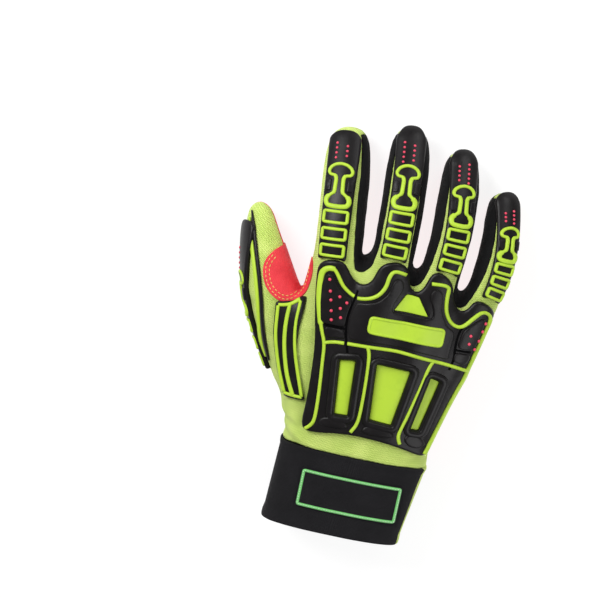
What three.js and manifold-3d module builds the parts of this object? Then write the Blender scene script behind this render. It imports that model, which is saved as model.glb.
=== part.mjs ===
// An impact glove for the right hand, lying palm down: +Z up, +Y to the fingertips, thumb at -X.
// The hand is one smooth closed surface, cut into sewn panels along its seams. Rubber guards are
// plates cut from thin layers that follow the back of that surface.
import * as THREE from 'three';
import { mergeVertices } from 'three/addons/utils/BufferGeometryUtils.js';
import Module from 'manifold-3d';

const wasm = await Module();
wasm.setup();

// Driving dimensions, in millimetres
const wall = 1.8; // knit and synthetic leather
const seamGap = 0.4; // between two panels along a seam
const fitGap = 0.3; // under a piece that lies on another one

const palmLength = 127; // wrist seam to the middle knuckle
const palmThickness = 35; // at the knuckles
const wristWidth = 96;
const wristHeight = 44;
const wristMiddle = -1.7; // across, the wrist's middle lies this far to the thumb side
const webWidth = 7; // between two fingers at their roots
const webSlope = 8; // how much further out the palm edge of a web lies than its back edge

const indexLength = 86;
const indexWidth = 31;
const indexHeight = 48; // back of the knuckle over the table
const middleLength = 88;
const middleWidth = 28;
const middleHeight = 52;
const ringLength = 84;
const ringWidth = 26.5;
const ringHeight = 47;
const pinkyLength = 71;
const pinkyWidth = 24;
const pinkyHeight = 38;
const fingerThickness = 27; // of the index finger, the others in proportion to their widths

const thumbLength = 92;
const thumbWidth = 28;
const thumbThickness = 24;
const nailAngle = 66; // degrees from straight up to the way the thumb's back faces

const cuffLength = 53;
const cuffWall = 3;
const cuffEndWidth = 90;
const cuffLean = 5; // the cuff's open end lies this far further to the thumb side
const goreWidth = 16;
const patchWidth = 63;
const patchLength = 25;
const patchThickness = 1;
const tabWidth = 23;
const tabThickness = 1.6;
const tabFold = 20; // of the tab's end that is turned back under it

const guardWidth = 115;
const guardLength = 122;
const guardThickness = 4.5;
const fingerGuardThickness = 3.5;
const inlayThickness = 0.8;
const webGuardLength = 68;
const webGuardThickness = 3.5;
const webGuardRim = 2; // of black rubber round its lime face
const saddleLength = 30;
const saddleThickness = 1.2;
const saddleLow = 14; // the patch ends this far over the table, in the crotch

const degree = Math.PI / 180;
const tabStack = 2 * tabThickness + fitGap; // the folded tab under the cuff
const heelHeight = tabStack + fitGap; // underside of cuff and heel above the table

const colours = {
  lime: { color: 0xc8e16a, roughness: 0.85 },
  limeRubber: { color: 0xb9da38, roughness: 0.45 },
  black: { color: 0x17171a, roughness: 0.9 },
  rubber: { color: 0x1f1e20, roughness: 0.5 },
  red: { color: 0xec3f4a, roughness: 0.6 },
  neoprene: { color: 0x1c1b1e, roughness: 0.8 },
};

// The four fingers. roll: degrees that the back of the finger turns to the little-finger side.
// lean, bow: sideways drift at the tip and at mid length, as shares of the length. knuckle: how
// far its root lies behind the middle knuckle, as a share of the palm's length. fork: how far the
// web on its outer side lies behind its own root, as shares of the web width. guard: where the
// guard on its back starts, as a share of its length.
const fingers = [
  {
    name: 'index', length: indexLength, width: indexWidth, height: indexHeight,
    roll: -11, lean: -0.115, bow: 0, knuckle: 0.045, fork: 0.3, guard: 0.05,
  },
  {
    name: 'middle', length: middleLength, width: middleWidth, height: middleHeight,
    roll: 0, lean: -0.055, bow: 0.02, knuckle: 0, fork: 0.9, guard: 0.07,
  },
  {
    name: 'ring', length: ringLength, width: ringWidth, height: ringHeight,
    roll: 15, lean: -0.02, bow: 0.045, knuckle: 0.035, fork: 1.4, guard: 0.1,
  },
  {
    name: 'pinky', length: pinkyLength, width: pinkyWidth, height: pinkyHeight,
    roll: 26, lean: 0, bow: 0.075, knuckle: 0.1, fork: 0.5, guard: 0.05,
  },
];

// Sections of a finger. along: share of its length. wide, thick: shares of its width and
// thickness. drop: share of the way down from the knuckle to the table.
const restHeight = 0.325; // middle of a resting fingertip over the table, as a share of its thickness
const fingerSections = [
  { along: 0.18, wide: 0.97, thick: 1, drop: 0.04 },
  { along: 0.47, wide: 1, thick: 0.96, drop: 0.32 },
  { along: 0.77, wide: 0.98, thick: 0.89, drop: 0.9 },
  { along: 0.94, wide: 0.76, thick: 0.72, drop: 1.02 },
];

// Rows of the palm from the wrist to the knuckles. along: share of the palm's length.
// outer, inner: how far the little-finger side and the thumb side stand out from the straight
// taper, as shares of the wrist's width. crown: lift of the back, hollow: lift of the palm, as
// shares of the palm's thickness.
const palmRows = [
  { along: 0.15, outer: -0.045, inner: -0.01, crown: 0, hollow: -0.06 },
  { along: 0.28, outer: -0.06, inner: 0.1, crown: 0.02, hollow: -0.05 },
  { along: 0.54, outer: -0.03, inner: 0.08, crown: 0.05, hollow: 0.08 },
  { along: 0.79, outer: 0.01, inner: 0.02, crown: 0.03, hollow: 0.06 },
];
const thumbRows = [2, 3, 4]; // rows of the palm that the thumb's root spans, counted from the wrist

// Sections of the thumb, from its root in the side of the palm to its tip. out, along: shares of
// the thumb's length from the root, to the side and to the fingertips. height: its middle over the
// table, as a share of its width. wide, thick: shares of its width and thickness. turn: share of
// the full turn that brings the thumb's back to the side.
const thumbSections = [
  { out: 0.115, along: 0.18, height: 0.74, wide: 1.36, thick: 1.5, turn: 0.5 },
  { out: 0.212, along: 0.41, height: 0.61, wide: 1.16, thick: 1.26, turn: 1 },
  { out: 0.29, along: 0.6, height: 0.46, wide: 1, thick: 0.96, turn: 1 },
  { out: 0.336, along: 0.75, height: 0.38, wide: 0.82, thick: 0.7, turn: 1 },
  { out: 0.356, along: 0.825, height: 0.34, wide: 0.54, thick: 0.44, turn: 1 },
];
const thumbTip = { out: 0.368, along: 0.87, height: 0.36 };
const thumbRoot = { across: -0.645, along: 0.53 }; // shares of the wrist's width, the palm's length

const roundLoss = 1.108; // an eight-sided cage ring over the round section that it gives
const vector = (x, y, z) => new THREE.Vector3(x, y, z);
const lerp = THREE.MathUtils.lerp;
const signedPower = (value, power) => Math.sign(value) * Math.abs(value) ** power;

function average(points) {
  const sum = vector(0, 0, 0);
  points.forEach((point) => sum.add(point));
  return sum.divideScalar(points.length);
}

// The cage: quads over the whole hand, each in one sewn panel

const cage = { points: [], faces: [] };

function addPoint(point) {
  cage.points.push(point);
  return cage.points.length - 1;
}

// zone: palm, web, thumb or a finger. row and edge: the quad's place along and round it
function addFace(panel, place, ...corners) {
  cage.faces.push({ panel, place, corners });
}

// Where each finger starts across the knuckles, and the span of the roots with the webs
const rootShare = 0.9; // width of a finger at its root over its full width
const rootSpan = fingers.reduce((sum, finger) => sum + finger.width * rootShare, 3 * webWidth);
const knuckleMiddle = 8; // the knuckles' middle lies this far to the little-finger side
let rootEdge = knuckleMiddle - rootSpan / 2;
for (const finger of fingers) {
  finger.left = rootEdge;
  finger.right = rootEdge + finger.width * rootShare;
  finger.middle = (finger.left + finger.right) / 2;
  finger.rootY = palmLength * (1 - finger.knuckle);
  finger.thickness = fingerThickness * lerp(1, finger.width / indexWidth, 0.6);
  rootEdge = finger.right + webWidth;
}

// One section: eight points round a middle, the first at the upper left corner. face: angle in
// degrees from straight up to the section's back, to the left. start: angle of the first point
// from that back.
function section(middle, axis, face, start, width, thickness) {
  const side = new THREE.Vector3().crossVectors(axis, vector(0, 0, 1)).normalize();
  const up = new THREE.Vector3().crossVectors(side, axis).normalize();
  const back = up.clone().multiplyScalar(Math.cos(face * degree))
    .addScaledVector(side, -Math.sin(face * degree));
  const left = new THREE.Vector3().crossVectors(back, axis);
  const ids = [];
  for (let k = 0; k < 8; k += 1) {
    const angle = (start - 45 * k) * degree;
    const point = middle.clone()
      .addScaledVector(left, signedPower(Math.sin(angle), 0.8) * (width / 2) * roundLoss)
      .addScaledVector(back, signedPower(Math.cos(angle), 0.8) * (thickness / 2) * roundLoss);
    ids.push(addPoint(point));
  }
  return ids;
}

// Joins two rings of the cage with a row of quads, the panel of each from a list
function joinRings(zone, row, low, high, panels) {
  low.forEach((point, edge) => {
    const next = (edge + 1) % low.length;
    if (panels[edge]) {
      addFace(panels[edge], { zone, row, edge }, point, low[next], high[next], high[edge]);
    }
  });
}

function capRing(zone, ring, tip, panels) {
  const centre = addPoint(tip);
  [1, 3, 5, 7].forEach((first, k) => {
    const [a, b, c] = [first, first + 1, first + 2].map((n) => ring[n % 8]);
    addFace(panels[k], { zone, row: 'tip', edge: (first + 1) % 8 }, centre, a, b, c);
  });
}

// The wrist ring: a flattened oval with a flat underside. Its back has twelve points, like the
// knuckles, then one at the side, twelve under the palm and one at the thumb side.
const wristPoints = [];
for (let n = 0; n < 12; n += 1) {
  const angle = lerp(152, 28, n / 11) * degree;
  wristPoints.push(vector(
    wristMiddle + (wristWidth / 2) * 1.03 * signedPower(Math.cos(angle), 0.8),
    0,
    heelHeight + wristHeight * (0.5 + 0.52 * signedPower(Math.sin(angle), 0.8)),
  ));
}
wristPoints.push(vector(wristMiddle + wristWidth * 0.515, 0, heelHeight + wristHeight * 0.5));
for (let n = 0; n < 12; n += 1) {
  const across = lerp(0.47, -0.47, n / 11);
  const corner = n === 0 || n === 11 ? 0.14 : 0;
  wristPoints.push(vector(wristMiddle + wristWidth * across, 0, heelHeight + wristHeight * corner));
}
wristPoints.push(vector(wristMiddle - wristWidth * 0.515, 0, heelHeight + wristHeight * 0.5));

// The knuckle ring, and the points half way down each web
const knuckleCrown = 1.5; // the cage stands this far over the back of a knuckle
const knuckleDip = 4; // and its corners between two knuckles lie this far under it
const sideSwell = 3; // outer and inner edge of the hand beyond the knuckle corners
const knucklePoints = [];
const underPoints = [];
fingers.forEach((finger, f) => {
  const lean = Math.tan(finger.roll * degree) * (finger.width / 2) * 0.75;
  const before = fingers[f - 1] ? webWidth * fingers[f - 1].fork : webWidth * 0.3;
  const steps = [
    { x: finger.left, y: finger.rootY - before * 0.5, z: finger.height - knuckleDip + lean },
    { x: finger.middle, y: finger.rootY, z: finger.height + knuckleCrown },
    { x: finger.right, y: finger.rootY - webWidth * finger.fork, z: finger.height - knuckleDip - lean },
  ];
  const thickness = palmThickness * (1 - Math.abs(finger.roll) / 90);
  steps.forEach(({ x, y, z }) => {
    knucklePoints.push(vector(x, y, z));
    underPoints.push(vector(x, y + webSlope, z - thickness));
  });
});
const outerSide = average([knucklePoints[11], underPoints[11]]).add(vector(sideSwell, 0, 0));
const innerSide = average([knucklePoints[0], underPoints[0]]).add(vector(-sideSwell, 0, 0));
const lastRow = [...knucklePoints, outerSide, ...underPoints.slice().reverse(), innerSide];

// Panels round the palm: the back and the thumb side are lime, the underside is red
function palmPanel(edge, row) {
  if (edge === 23) {
    return row < 2 ? 'back_panel' : 'palm_panel';
  }
  if (edge === 24) {
    return row < 4 ? 'back_panel' : 'palm_panel';
  }
  return edge >= 12 && edge < 23 ? 'palm_panel' : 'back_panel';
}

const palmRings = [wristPoints.map((point) => addPoint(point))];
palmRows.forEach((row) => {
  palmRings.push(wristPoints.map((wrist, n) => {
    const point = wrist.clone().lerp(lastRow[n], row.along);
    const side = (point.x - knuckleMiddle * row.along) / (wristWidth / 2);
    point.x += wristWidth * (side > 0 ? row.outer * side : row.inner * side);
    const onBack = n < 12;
    const middle = 1 - Math.min(1, Math.abs(side)) ** 2;
    point.z += palmThickness * middle * (onBack ? row.crown : row.hollow);
    return addPoint(point);
  }));
});
palmRings.push(lastRow.map((point) => addPoint(point)));
const thumbSide = [24, 25];
for (let row = 0; row + 1 < palmRings.length; row += 1) {
  const panels = wristPoints.map((_, edge) => {
    const underThumb = thumbSide.includes(edge) && row >= thumbRows[0] && row < thumbRows[2];
    return underThumb ? null : palmPanel(edge, row);
  });
  joinRings('palm', row, palmRings[row], palmRings[row + 1], panels);
}

// Fingers grow from the knuckle ring, and each web is a strip between two of them
const knuckleRing = palmRings[palmRings.length - 1];
const webMiddles = [0, 1, 2].map((f) => [2, 3].map((n) => {
  const upper = knucklePoints[3 * f + n];
  const under = underPoints[3 * f + n];
  return addPoint(average([upper, under]).add(vector(0, -webSlope * 0.15, 0)));
}));
const fourchettes = ['fourchette_index_middle', 'fourchette_middle_ring', 'fourchette_ring_pinky'];
webMiddles.forEach(([left, right], f) => {
  const [a, b] = [knuckleRing[3 * f + 2], knuckleRing[3 * f + 3]];
  const [c, d] = [knuckleRing[24 - 3 * f - 3], knuckleRing[24 - 3 * f - 2]];
  addFace(fourchettes[f], { zone: 'web' }, a, b, right, left);
  addFace(fourchettes[f], { zone: 'web' }, left, right, c, d);
});

// Middle line of a finger seen from above
function acrossFinger({ middle, length, lean, bow }, along) {
  return middle + length * (lean * along + bow * 4 * along * (1 - along));
}

fingers.forEach((finger, f) => {
  const innerSidePoint = f === 0 ? knuckleRing[25] : webMiddles[f - 1][1];
  const outerSidePoint = f === 3 ? knuckleRing[12] : webMiddles[f][0];
  const [d0, d1, d2] = [0, 1, 2].map((n) => knuckleRing[3 * f + n]);
  const [p0, p1, p2] = [0, 1, 2].map((n) => knuckleRing[24 - 3 * f - n]);
  let ring = [d0, d1, d2, outerSidePoint, p2, p1, p0, innerSidePoint];
  const leftPanels = f === 0 ? ['palm_panel', 'back_panel'] : [fourchettes[f - 1], fourchettes[f - 1]];
  const rightPanels = f === 3 ? ['back_panel', 'palm_panel'] : [fourchettes[f], fourchettes[f]];
  const panels = [
    'back_panel', 'back_panel', ...rightPanels, 'palm_panel', 'palm_panel', ...leftPanels,
  ];
  const middleAt = (along, drop, thick) => {
    const root = finger.height - (finger.thickness * thick) / 2;
    const height = lerp(root, finger.thickness * restHeight, drop);
    return vector(acrossFinger(finger, along), finger.rootY + finger.length * along, height);
  };
  const middles = fingerSections.map((row) => middleAt(row.along, row.drop, row.thick));
  const tip = middleAt(1.01, 1.1, 0.72);
  fingerSections.forEach((row, n) => {
    const from = n === 0 ? middleAt(0, 0, 1) : middles[n - 1];
    const to = n + 1 < middles.length ? middles[n + 1] : tip;
    const axis = to.clone().sub(from).normalize();
    const [width, thickness] = [finger.width * row.wide, finger.thickness * row.thick];
    const ids = section(middles[n], axis, -finger.roll, 45, width, thickness);
    joinRings(finger.name, n, ring, ids, panels);
    ring = ids;
  });
  const tipPanel = fourchettes[Math.min(f, 2)];
  capRing(finger.name, ring, tip, ['back_panel', tipPanel, tipPanel, 'back_panel']);
});

// The thumb grows from the side of the palm
const [rowA, rowB, rowC] = thumbRows.map((n) => palmRings[n]);
let thumbRing = [rowA[0], rowB[0], rowC[0], rowC[25], rowC[24], rowB[24], rowA[24], rowA[25]];
const thumbBase = vector(wristWidth * thumbRoot.across, palmLength * thumbRoot.along, 0);
const thumbMiddle = ({ out, along, height }) => thumbBase.clone()
  .add(vector(-thumbLength * out, thumbLength * along, thumbWidth * height));
const thumbPanels = [
  'back_panel', 'back_panel', 'back_panel', 'palm_panel',
  'palm_panel', 'palm_panel', 'back_panel', 'back_panel',
];
thumbSections.forEach((row, n) => {
  const middle = thumbMiddle(row);
  const from = n === 0 ? thumbBase.clone().setZ(middle.z) : thumbMiddle(thumbSections[n - 1]);
  const to = n + 1 < thumbSections.length ? thumbMiddle(thumbSections[n + 1]) : thumbMiddle(thumbTip);
  const axis = to.sub(from).normalize();
  const start = (row.turn - 1) * (nailAngle - 45);
  const ids = section(middle, axis, nailAngle, start, thumbWidth * row.wide, thumbThickness * row.thick);
  joinRings('thumb', n, thumbRing, ids, thumbPanels);
  thumbRing = ids;
});
const thumbCap = ['back_panel', 'palm_panel', 'palm_panel', 'back_panel'];
capRing('thumb', thumbRing, thumbMiddle(thumbTip), thumbCap);

// One smoothing step of the cage: each quad gives four, which stay in its panel
function edgeTable(faces) {
  const edges = new Map();
  faces.forEach((face, f) => face.corners.forEach((a, k) => {
    const b = face.corners[(k + 1) % 4];
    const key = `${Math.min(a, b)}_${Math.max(a, b)}`;
    if (!edges.has(key)) {
      edges.set(key, { ends: [a, b], faces: [] });
    }
    edges.get(key).faces.push(f);
  }));
  return edges;
}

function neighbours(mesh) {
  const near = mesh.points.map(() => ({ ends: [], rims: [], faces: [], corners: [] }));
  edgeTable(mesh.faces).forEach(({ ends, faces }) => {
    ends.forEach((end, k) => {
      near[end].ends.push(ends[1 - k]);
      if (faces.length === 1) {
        near[end].rims.push(ends[1 - k]);
      }
    });
  });
  mesh.faces.forEach((face, f) => face.corners.forEach((corner, k) => {
    near[corner].faces.push(f);
    near[corner].corners.push(face.corners[(k + 2) % 4]);
  }));
  return near;
}

function refine(mesh) {
  const at = (ids) => ids.map((id) => mesh.points[id]);
  const centres = mesh.faces.map((face) => average(at(face.corners)));
  const near = neighbours(mesh);
  const points = mesh.points.map((point, id) => {
    const { ends, rims, faces } = near[id];
    if (rims.length) {
      return average(at(rims)).multiplyScalar(0.25).addScaledVector(point, 0.75);
    }
    const n = ends.length;
    const middles = average(at(ends)).add(point).multiplyScalar(0.5);
    return average(faces.map((f) => centres[f])).add(middles.multiplyScalar(2))
      .addScaledVector(point, n - 3).divideScalar(n);
  });
  const firstCentre = points.length;
  points.push(...centres);
  const edgePoints = new Map();
  edgeTable(mesh.faces).forEach(({ ends, faces }, key) => {
    edgePoints.set(key, points.length);
    const around = faces.length === 2 ? faces.map((f) => centres[f]) : [];
    points.push(average([...at(ends), ...around]));
  });
  const faces = [];
  mesh.faces.forEach(({ panel, place, corners }, f) => corners.forEach((corner, k) => {
    const middleOf = (a, b) => edgePoints.get(`${Math.min(a, b)}_${Math.max(a, b)}`);
    const after = middleOf(corner, corners[(k + 1) % 4]);
    const before = middleOf(corner, corners[(k + 3) % 4]);
    faces.push({ panel, place, corners: [corner, after, firstCentre + f, before] });
  }));
  return { points, faces };
}

// Moves each point to where endless smoothing would take it, and nothing below the table
function settle(mesh) {
  const at = (ids) => ids.map((id) => mesh.points[id]);
  const near = neighbours(mesh);
  const points = mesh.points.map((point, id) => {
    const { ends, rims, corners } = near[id];
    if (rims.length) {
      return average(at(rims)).multiplyScalar(1 / 3).addScaledVector(point, 2 / 3);
    }
    const n = ends.length;
    const sum = point.clone().multiplyScalar(n * n);
    at(ends).forEach((end) => sum.addScaledVector(end, 4));
    at(corners).forEach((corner) => sum.add(corner));
    return sum.divideScalar(n * (n + 5));
  });
  points.forEach((point) => point.setZ(Math.max(point.z, 0)));
  return { points, faces: mesh.faces };
}

const hand = settle(refine(cage));

function pointNormals(mesh) {
  const normals = mesh.points.map(() => vector(0, 0, 0));
  mesh.faces.forEach(({ corners }) => {
    const [a, b, c, d] = corners.map((corner) => mesh.points[corner]);
    const normal = c.clone().sub(a).cross(d.clone().sub(b));
    corners.forEach((corner) => normals[corner].add(normal));
  });
  return normals.map((normal) => normal.normalize());
}

const handNormals = pointNormals(hand);

// A closed shell between two offsets of some of the hand's quads, none of it below the table.
// inset draws its rim in.
function shell(faces, low, high, inset) {
  const sums = new Map();
  const rim = new Set();
  faces.forEach(({ corners }) => {
    const centre = average(corners.map((corner) => hand.points[corner]));
    corners.forEach((corner) => {
      if (!sums.has(corner)) {
        sums.set(corner, vector(0, 0, 0));
      }
      sums.get(corner).add(centre.clone().sub(hand.points[corner]));
    });
  });
  const rimEdges = new Set();
  edgeTable(faces).forEach((edge, key) => {
    if (edge.faces.length === 1) {
      rimEdges.add(key);
      edge.ends.forEach((end) => rim.add(end));
    }
  });
  const index = new Map();
  const positions = [];
  [high, low].forEach((offset) => sums.forEach((pull, corner) => {
    const point = hand.points[corner].clone().addScaledVector(handNormals[corner], offset);
    if (rim.has(corner)) {
      const normal = handNormals[corner];
      const inward = pull.clone().addScaledVector(normal, -pull.dot(normal)).normalize();
      point.addScaledVector(inward, inset);
      point.setZ(Math.max(point.z, 0));
    }
    index.set(`${offset}_${corner}`, positions.length);
    positions.push(point);
  }));
  const triangles = [];
  const quad = (a, b, c, d) => triangles.push([a, b, c], [a, c, d]);
  faces.forEach(({ corners }) => {
    quad(...corners.map((corner) => index.get(`${high}_${corner}`)));
    const [e, f, g, h] = corners.map((corner) => index.get(`${low}_${corner}`));
    quad(e, h, g, f);
    corners.forEach((a, k) => {
      const b = corners[(k + 1) % 4];
      if (rimEdges.has(`${Math.min(a, b)}_${Math.max(a, b)}`)) {
        const [upperA, upperB] = [a, b].map((corner) => index.get(`${high}_${corner}`));
        const [lowerA, lowerB] = [a, b].map((corner) => index.get(`${low}_${corner}`));
        if (a < b) {
          quad(upperB, upperA, lowerA, lowerB);
        } else {
          quad(upperA, lowerA, lowerB, upperB);
        }
      }
    });
  });
  return geometryFrom(positions, triangles);
}

function geometryFrom(positions, triangles) {
  const geometry = new THREE.BufferGeometry();
  const numbers = positions.flatMap((point) => point.toArray());
  geometry.setAttribute('position', new THREE.Float32BufferAttribute(numbers, 3));
  geometry.setIndex(triangles.flat());
  return geometry;
}

function solidFrom(geometry) {
  geometry.deleteAttribute('normal');
  geometry.deleteAttribute('uv');
  const merged = mergeVertices(geometry, 1e-4);
  return new wasm.Manifold(new wasm.Mesh({
    numProp: 3,
    vertProperties: new Float32Array(merged.attributes.position.array),
    triVerts: new Uint32Array(merged.index.array),
  }));
}

function geometryOf(solid) {
  const mesh = solid.getMesh();
  const geometry = new THREE.BufferGeometry();
  const numbers = new Float32Array(mesh.vertProperties);
  geometry.setAttribute('position', new THREE.BufferAttribute(numbers, 3));
  geometry.setIndex(new THREE.BufferAttribute(new Uint32Array(mesh.triVerts), 1));
  return geometry;
}

const group = new THREE.Group();
const glove = new THREE.Group();
group.add(glove);

function addPiece(name, finish, geometry) {
  const material = new THREE.MeshStandardMaterial({ ...colours[finish], metalness: 0 });
  const mesh = new THREE.Mesh(geometry, material);
  mesh.name = name;
  glove.add(mesh);
}

// Sewn panels of the hand
const panelFinishes = { back_panel: 'lime', palm_panel: 'red' };
fourchettes.forEach((name) => {
  panelFinishes[name] = 'black';
});
Object.entries(panelFinishes).forEach(([name, finish]) => {
  const faces = hand.faces.filter((face) => face.panel === name);
  addPiece(name, finish, shell(faces, -wall, 0, seamGap / 2));
});

// The cuff: a flattened tube with a flat underside, open down the outer side for the gore.
// turn runs once round it from the middle of the underside, past the thumb side.
function cuffPoint(turn, along, inset) {
  const width = lerp(wristWidth, cuffEndWidth, along);
  const angle = turn * 2 * Math.PI;
  const half = width / 2 - inset;
  const tall = wristHeight / 2 - inset;
  const x = wristMiddle - cuffLean * along - signedPower(Math.sin(angle), 0.8) * half;
  const z = -signedPower(Math.cos(angle), 0.62) * tall;
  return vector(x, -seamGap - cuffLength * along, heelHeight + wristHeight / 2 + z);
}

// A closed piece of that tube. turns, alongs: where it starts and ends, insets: its two faces.
function band(turns, steps, alongs, insets) {
  const rows = 2;
  const positions = [];
  const triangles = [];
  const id = (side, row, step) => (side * (rows + 1) + row) * (steps + 1) + step;
  insets.forEach((inset) => {
    for (let row = 0; row <= rows; row += 1) {
      for (let step = 0; step <= steps; step += 1) {
        positions.push(cuffPoint(lerp(...turns, step / steps), lerp(...alongs, row / rows), inset));
      }
    }
  });
  const quad = (a, b, c, d) => triangles.push([a, b, c], [a, c, d]);
  for (let row = 0; row < rows; row += 1) {
    for (let step = 0; step < steps; step += 1) {
      quad(id(0, row + 1, step), id(0, row + 1, step + 1), id(0, row, step + 1), id(0, row, step));
      quad(id(1, row, step), id(1, row, step + 1), id(1, row + 1, step + 1), id(1, row + 1, step));
    }
    quad(id(0, row, 0), id(1, row, 0), id(1, row + 1, 0), id(0, row + 1, 0));
    quad(id(0, row + 1, steps), id(1, row + 1, steps), id(1, row, steps), id(0, row, steps));
  }
  for (let step = 0; step < steps; step += 1) {
    quad(id(0, 0, step + 1), id(1, 0, step + 1), id(1, 0, step), id(0, 0, step));
    quad(id(0, rows, step), id(1, rows, step), id(1, rows, step + 1), id(0, rows, step + 1));
  }
  return geometryFrom(positions, triangles);
}

const cuffGirth = 2.4 * cuffEndWidth;
const goreMiddle = 0.745; // turn at which the gore lies
const goreTurn = goreWidth / cuffGirth;
const cuffEdge = goreTurn / 2 + seamGap / cuffGirth;
const cuffLayer = [0, cuffWall];
const cuffTurns = [goreMiddle + cuffEdge - 1, goreMiddle - cuffEdge];
const goreTurns = [goreMiddle - goreTurn / 2, goreMiddle + goreTurn / 2];
addPiece('cuff', 'neoprene', band(cuffTurns, 32, [0, 1], cuffLayer));
addPiece('cuff_gore', 'lime', band(goreTurns, 4, [0, 1], cuffLayer));

// The patch on the back of the cuff
const patchTurn = Math.asin((patchWidth / wristWidth) ** 1.25) / (2 * Math.PI);
const patchTurns = [0.5 - patchTurn, 0.5 + patchTurn];
const patchAlongs = [-1, 1].map((side) => 0.5 + (side * patchLength) / cuffLength / 2);
const patchLayer = [-fitGap - patchThickness, -fitGap];
addPiece('cuff_patch', 'neoprene', band(patchTurns, 10, patchAlongs, patchLayer));

// The pull tab: webbing sewn under the heel, its loose end turned back under it
const tabShape = new THREE.Shape();
const tabStart = -4; // behind the wrist seam
const tabEnd = -cuffLength + tabThickness;
tabShape.moveTo(tabStart, tabThickness + fitGap);
tabShape.lineTo(tabEnd, tabThickness + fitGap);
tabShape.lineTo(tabEnd, tabThickness);
tabShape.lineTo(tabEnd + tabFold, tabThickness);
tabShape.lineTo(tabEnd + tabFold, 0);
tabShape.lineTo(tabEnd, 0);
tabShape.absarc(tabEnd, tabStack / 2, tabStack / 2, -Math.PI / 2, -1.5 * Math.PI, true);
tabShape.lineTo(tabStart, tabStack);
tabShape.closePath();
const tabBuild = { depth: tabWidth, bevelEnabled: false, curveSegments: 6 };
const tab = new THREE.ExtrudeGeometry(tabShape, tabBuild);
tab.applyMatrix4(new THREE.Matrix4().set(
  0, 0, 1, -tabWidth / 2,
  1, 0, 0, 0,
  0, 1, 0, 0,
  0, 0, 0, 1,
));
addPiece('pull_tab', 'black', tab);

// Layers that the rubber plates are cut from, and the parts of the hand that they cover
function layer(where, low, thickness) {
  const faces = hand.faces.filter(({ place }) => where(place));
  return solidFrom(shell(faces, low, low + thickness, 0));
}
const upperEdges = [7, 0, 1, 2];
const onBack = ({ zone, row, edge }) => {
  if (zone === 'palm') {
    return edge >= 24 || edge <= 12;
  }
  if (zone === 'thumb') {
    return [6, 7, 0, 1].includes(edge);
  }
  return row === 0 && [0, 1].includes(edge);
};
const onFinger = (name) => ({ zone, edge }) => zone === name && upperEdges.includes(edge);

// A prism from an outline in a frame whose third direction it runs along
function prism(outline, frame, low, high, holes = []) {
  const turned = (points, clockwise) => {
    const corners = points.map(([u, v]) => new THREE.Vector2(u, v));
    return THREE.ShapeUtils.isClockWise(corners) === clockwise ? corners : corners.reverse();
  };
  const shape = new THREE.Shape(turned(outline, false));
  shape.holes = holes.map((hole) => new THREE.Path(turned(hole, true)));
  const geometry = new THREE.ExtrudeGeometry(shape, { depth: high - low, bevelEnabled: false });
  geometry.translate(0, 0, low);
  geometry.applyMatrix4(frame);
  return solidFrom(geometry);
}

function smoothOutline(points, count) {
  const curve = new THREE.CatmullRomCurve3(points.map(([u, v]) => vector(u, v, 0)), true, 'centripetal');
  return curve.getPoints(count).slice(0, -1).map((point) => [point.x, point.y]);
}

// Draws an outline in or out by moving each corner along its two sides' normals
function drawnIn(points, amount) {
  const area = points.reduce((sum, [u, v], n) => {
    const [a, b] = points[(n + 1) % points.length];
    return sum + u * b - a * v;
  }, 0);
  return points.map(([u, v], n) => {
    const before = points[(n + points.length - 1) % points.length];
    const after = points[(n + 1) % points.length];
    const normals = [[before, [u, v]], [[u, v], after]].map(([a, b]) => {
      const run = Math.hypot(b[0] - a[0], b[1] - a[1]) * Math.sign(area);
      return [-(b[1] - a[1]) / run, (b[0] - a[0]) / run];
    });
    const scale = amount / (1 + normals[0][0] * normals[1][0] + normals[0][1] * normals[1][1]);
    return [
      u + (normals[0][0] + normals[1][0]) * scale,
      v + (normals[0][1] + normals[1][1]) * scale,
    ];
  });
}

// The guard over the back of the hand. Its tables hold shares of its width and length, from the
// middle of its lower edge.
const guardOutline = [
  [-0.41, 0.03], [-0.411, 0.157], [-0.42, 0.348], [-0.437, 0.51], [-0.472, 0.668], [-0.492, 0.82],
  [-0.494, 0.9], [-0.45, 0.935], [-0.366, 0.938], [-0.325, 0.878], [-0.26, 0.84], [-0.196, 0.867],
  [-0.174, 0.949], [-0.13, 0.99], [-0.055, 0.998], [-0.015, 0.95], [0.0, 0.885], [0.058, 0.857],
  [0.098, 0.9], [0.12, 0.975], [0.175, 0.985], [0.235, 0.94], [0.25, 0.86], [0.3, 0.8],
  [0.355, 0.812], [0.386, 0.872], [0.45, 0.865], [0.498, 0.825], [0.482, 0.753], [0.455, 0.63],
  [0.4, 0.417], [0.334, 0.2], [0.292, 0.02], [0.255, 0.005], [0.125, 0.036], [-0.021, 0.05],
  [-0.192, 0.048], [-0.33, 0.02],
];
const guardWindows = {
  inner: [[-0.278, 0.433], [-0.195, 0.449], [-0.175, 0.151], [-0.248, 0.147]],
  middle: [[-0.076, 0.451], [0.114, 0.446], [0.072, 0.146], [-0.05, 0.154]],
  outer: [[0.232, 0.427], [0.286, 0.416], [0.227, 0.14], [0.182, 0.141]],
  top: [[0.002, 0.853], [0.076, 0.852], [0.141, 0.766], [-0.042, 0.767]],
};
const guardPlate = [
  [-0.16, 0.704], [0.24, 0.704], [0.258, 0.646], [0.239, 0.605], [-0.162, 0.61], [-0.18, 0.662],
];
const guardMiddle = 8.6; // across, from the wrist's middle
const guardStart = 9; // from the wrist seam to the guard's lower edge
const backFrame = new THREE.Matrix4().makeTranslation(guardMiddle, guardStart, 0);
const onGuard = (points) => points.map(([u, v]) => [u * guardWidth, v * guardLength]);
const [backLow, backHigh] = [heelHeight + wristHeight * 0.4, 100];
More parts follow.
